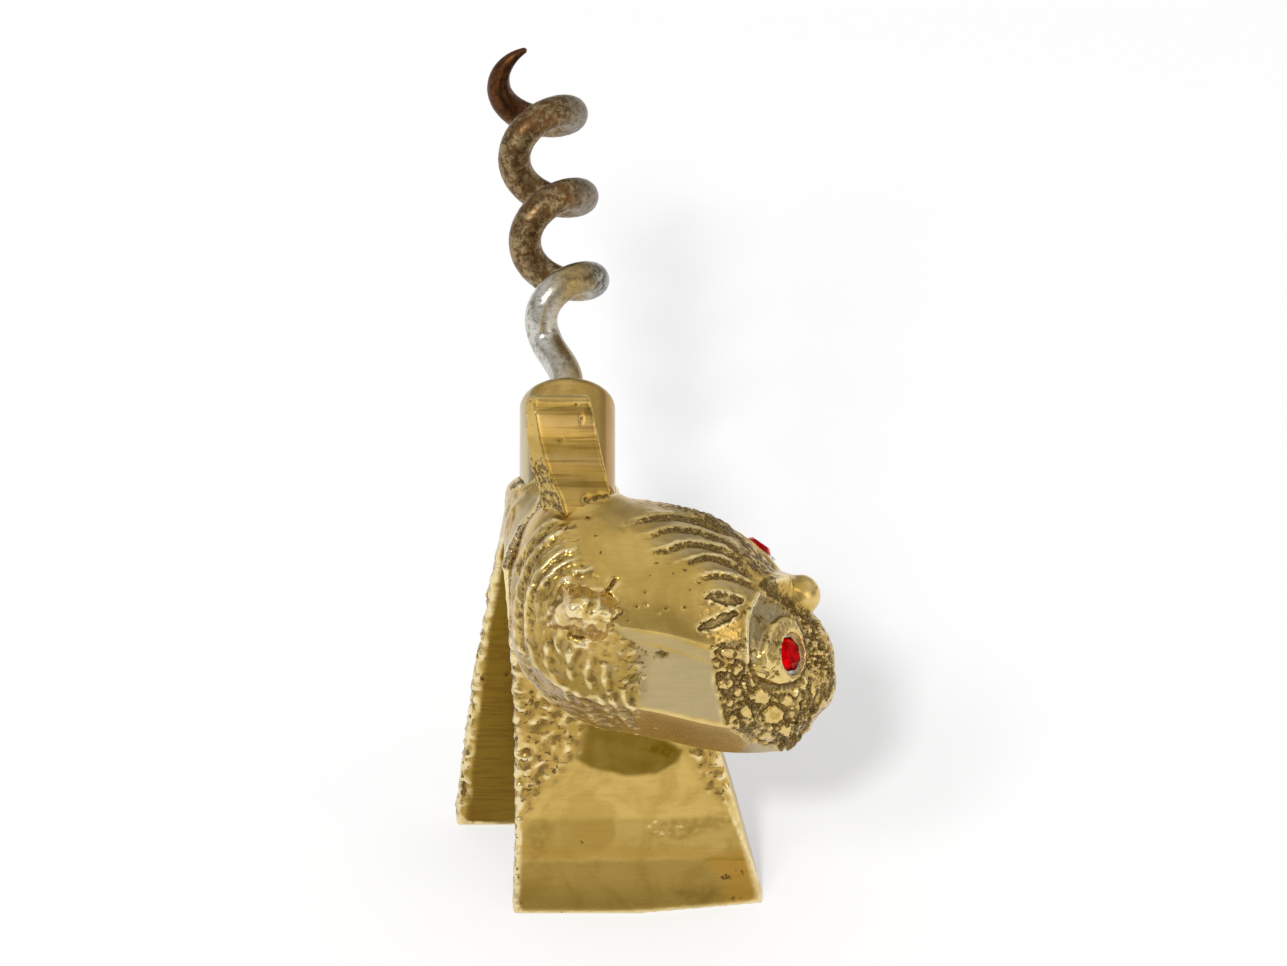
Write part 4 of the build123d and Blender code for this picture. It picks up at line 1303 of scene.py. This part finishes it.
def brass_material(
    name, light=BRASS_LIGHT, deep=BRASS_DEEP, carved=True, banded=False, polish=0.27,
    brush_way=BRUSH_ALONG_X, brush_turn=0.0,
):
    """Aged brass: clouds, brushing, pits, brown patina where the surface is hollow, and painted highlights and
    glints where it is raised.
    """
    material, n = new_material(name)
    place = n.place()
    brush = n.noise(n.place(brush_way, brush_turn), 0.8, 3.0, 0.6)
    cloud = n.noise(place, 0.16, 4.0, 0.6, 0.8)
    fine = n.noise(place, 2.6, 4.0, 0.65)
    mottle = n.noise(place, 0.9, 4.0, 0.6, 0.3)
    colour = n.mix(n.spread(cloud, 0.38, 0.64), light, deep)
    speck = n.spread(n.voronoi(place, 0.9), 0.0, 0.12, 1.0, 0.0)
    dark = n.times(speck, n.spread(n.noise(place, 0.35, 2.0), 0.56, 0.70))
    height = n.plus(n.times(brush, 0.35), n.times(fine, 0.25))
    rough = n.plus(n.times(brush, 0.05), polish - 0.025)
    brushed, strength = 0.10, 0.3
    if carved:
        hollow, patina, silver = n.attribute("hollow"), n.attribute("patina"), n.attribute("silver")
        skin = n.attribute("rough")
        cast = n.most(skin, 0.0)
        brushed = n.spread(skin, 0.0, -1.0, 0.06, 0.55)
        strength = n.spread(cast, 0.0, 1.0, 0.12, 0.85)
        colour = n.mix(n.times(n.attribute("warm"), 0.8), colour, RED_BRASS)
        colour = n.mix(n.times(cast, n.spread(mottle, 0.48, 0.64, 0.0, 0.6)), colour, CAST_SPOT)
        # Pale silvery brass; on the fur's strands and streaks and along the crown's rolled edge it is a painted
        # highlight, and on the back's calm patch a painted reflection
        colour = n.mix(n.times(silver, 0.85), colour, PALE_BRASS_AND_SHEEN)
        colour = n.mix(n.attribute("tone"), colour, SHADED_BRASS)
        low = n.times(n.spread(hollow, 0.10, 1.0, 0.0, 0.65), n.spread(silver, 0.0, 1.0, 1.0, 0.15))
        ragged = n.plus(patina, n.about_zero(fine, 1.7))
        stain = n.times(n.spread(ragged, 0.34, 0.66), n.spread(patina, 0.05, 0.30))
        stain = n.times(stain, n.spread(n.noise(place, 5.5, 3.0, 0.7), 0.36, 0.58, 0.42, 1.0))
        dark = n.most(dark, n.most(low, stain))
        # Painted highlights: raised places turn lighter, partly rubbed brass and partly painted sheen, and the
        # most raised take a painted glint
        colour = n.mix(n.times(n.spread(hollow, -0.15, -0.8), 0.60), colour, RUBBED_BRASS_AND_SHEEN)
        colour = n.mix(n.spread(hollow, -0.82, -1.0, 0.0, 0.50), colour, GLINT)
        rough = n.plus(n.minus(rough, n.times(cast, 0.05)), n.times(silver, 0.08))
        height = n.minus(height, n.times(stain, 0.35))
    colour = n.mix(n.times(n.spread(brush, 0.46, 0.62), brushed), colour, BRUSH_BROWN)
    if banded:
        # Painted reflections: the ferrule is pale along its left and browner along its right
        x = n.plus(n.add("SeparateXYZ", {0: place})[0], n.about_zero(mottle, 0.8))
        colour = n.mix(n.spread(x, *FERRULE_LEFT_REFLECTION_X, 0.0, 0.7), colour, FERRULE_LEFT_REFLECTION)
        colour = n.mix(n.spread(x, *FERRULE_RIGHT_REFLECTION_X, 0.0, 0.7), colour, FERRULE_RIGHT_REFLECTION)
        lines = n.noise(n.place(LINES_WAY), 1.0, 2.0)
        colour = n.mix(n.spread(lines, 0.45, 0.62, 0.0, 0.35), colour, BAND_LINE)
    colour = n.mix(n.times(dark, 0.96), colour, PATINA_BROWN)
    rough = n.plus(rough, n.times(dark, 0.30), clamp=True)
    n.finish(colour, rough, n.bump(height, BRASS_BUMP, strength))
    return material


def steel_material():
    """Old steel: bright near the root with a painted highlight along its left, brown over the turns and greyer
    at their right with a painted highlight, rusty at the point.
    """
    material, n = new_material("worn_steel")
    place = n.place()
    fine = n.noise(place, 2.2, 4.0, 0.65)
    cloud = n.noise(place, 0.45, 4.0, 0.6, 0.5)
    mottle = n.noise(place, 1.3, 5.0, 0.72, 0.7)
    along = n.plus(n.attribute("along"), n.about_zero(cloud, 0.22))
    right = n.attribute("silver")
    turns = n.mix(n.spread(mottle, 0.42, 0.58), TURN_LIGHT, TURN_DARK)
    turns = n.mix(n.spread(cloud, 0.50, 0.62, 0.0, 0.8), turns, TURN_RUST)
    # The right of each turn is greyer: a painted highlight
    turns = n.mix(n.times(right, n.spread(mottle, 0.60, 0.44, 0.25, 0.9)), turns, TURN_HIGHLIGHT_GREY)
    # The root is bright steel along its left, with a painted highlight streak, and warmer along its right
    root = n.mix(n.attribute("warm"), ROOT_STEEL_AND_HIGHLIGHT, ROOT_WARM)
    root = n.mix(n.spread(mottle, 0.52, 0.66, 0.0, 0.6), root, ROOT_SPOT)
    root = n.mix(right, root, n.mix(n.spread(mottle, 0.44, 0.54), SCRATCH_LIGHT, SCRATCH_DARK))
    tip = n.mix(n.spread(mottle, 0.42, 0.60), TIP_RUST, TIP_DARK)
    colour = n.mix(n.spread(along, 0.27, 0.37), root, turns)
    colour = n.mix(n.spread(along, 0.84, 0.91), colour, tip)
    colour = n.mix(n.times(n.attribute("patina"), 0.85), colour, STEEL_PIT)
    rough = n.plus(n.spread(along, 0.2, 0.5, 0.20, 0.34), n.times(fine, 0.12))
    n.finish(colour, rough, n.bump(fine, STEEL_BUMP, 0.6))
    return material


def glass_material():
    """Red paste over foil: a mirror-like red of two depths."""
    material, n = new_material("red_stone")
    place = n.place()
    colour = n.mix(n.spread(n.noise(place, 0.7, 2.0), 0.35, 0.65), STONE_DEEP, STONE_BRIGHT)
    n.finish(colour, 0.12, n.bump(n.noise(place, 1.2, 1.0), STONE_BUMP, 0.3))
    return material


def foil_material():
    """Dull tin with brown spots."""
    material, n = new_material("tinned_cup")
    fine = n.noise(n.place(), 2.4, 4.0, 0.6)
    colour = n.mix(n.spread(fine, 0.4, 0.75), TIN_LIGHT, TIN_DARK)
    n.finish(colour, n.spread(fine, 0.3, 0.8, 0.2, 0.45), n.bump(fine, STEEL_BUMP, 0.6))
    return material


def wear(obj, material):
    obj.data.materials.clear()
    obj.data.materials.append(material)


def stands_for(obj, node):
    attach(obj, "root")
    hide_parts(node)


make_camera()
make_world()
make_floor()
make_lights()

cast_brass = brass_material("cast_brass")
ear_brass = brass_material("ear_brass", brush_way=EAR_BRUSH, brush_turn=-VIEW_RISE)
turned_brass = brass_material(
    "turned_brass", TURNED_LIGHT, TURNED_DEEP, carved=False, banded=True, polish=0.22,
)
braze = brass_material("braze_metal", BRAZE_LIGHT, BRAZE_DEEP, carved=False, polish=0.35)

for maker, node, brass in (
    (make_head, "head", cast_brass), (make_legs, "leg_arch", cast_brass),
    (make_rear_ear, "rear_ear", ear_brass), (make_front_ear, "front_ear", cast_brass),
):
    piece = maker()
    wear(piece, brass)
    stands_for(piece, node)

worm = make_worm()
wear(worm, steel_material())
stands_for(worm, "corkscrew_worm")

# The far stone looks the way that the near one does, mirrored in the plane between the eyes
eye_line = unit(REAR_EYE - FRONT_EYE)
rear_way = FRONT_STONE_WAY - eye_line * (2 * FRONT_STONE_WAY @ eye_line)
red = glass_material()
for side, centre, way in (("front", FRONT_EYE, FRONT_STONE_WAY), ("rear", REAR_EYE, rear_way)):
    stone = make_stone(centre, way, side + "_stone_cut")
    wear(stone, red)
    stands_for(stone, side + "_eye_stone")

foil = foil_material()
for node, material in (
    ("front_eye_cup", foil), ("rear_eye_cup", foil), ("worm_ferrule", turned_brass), ("worm_braze", braze),
):
    wear(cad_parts[node], material)

bpy.context.scene.view_settings.view_transform = "Standard"
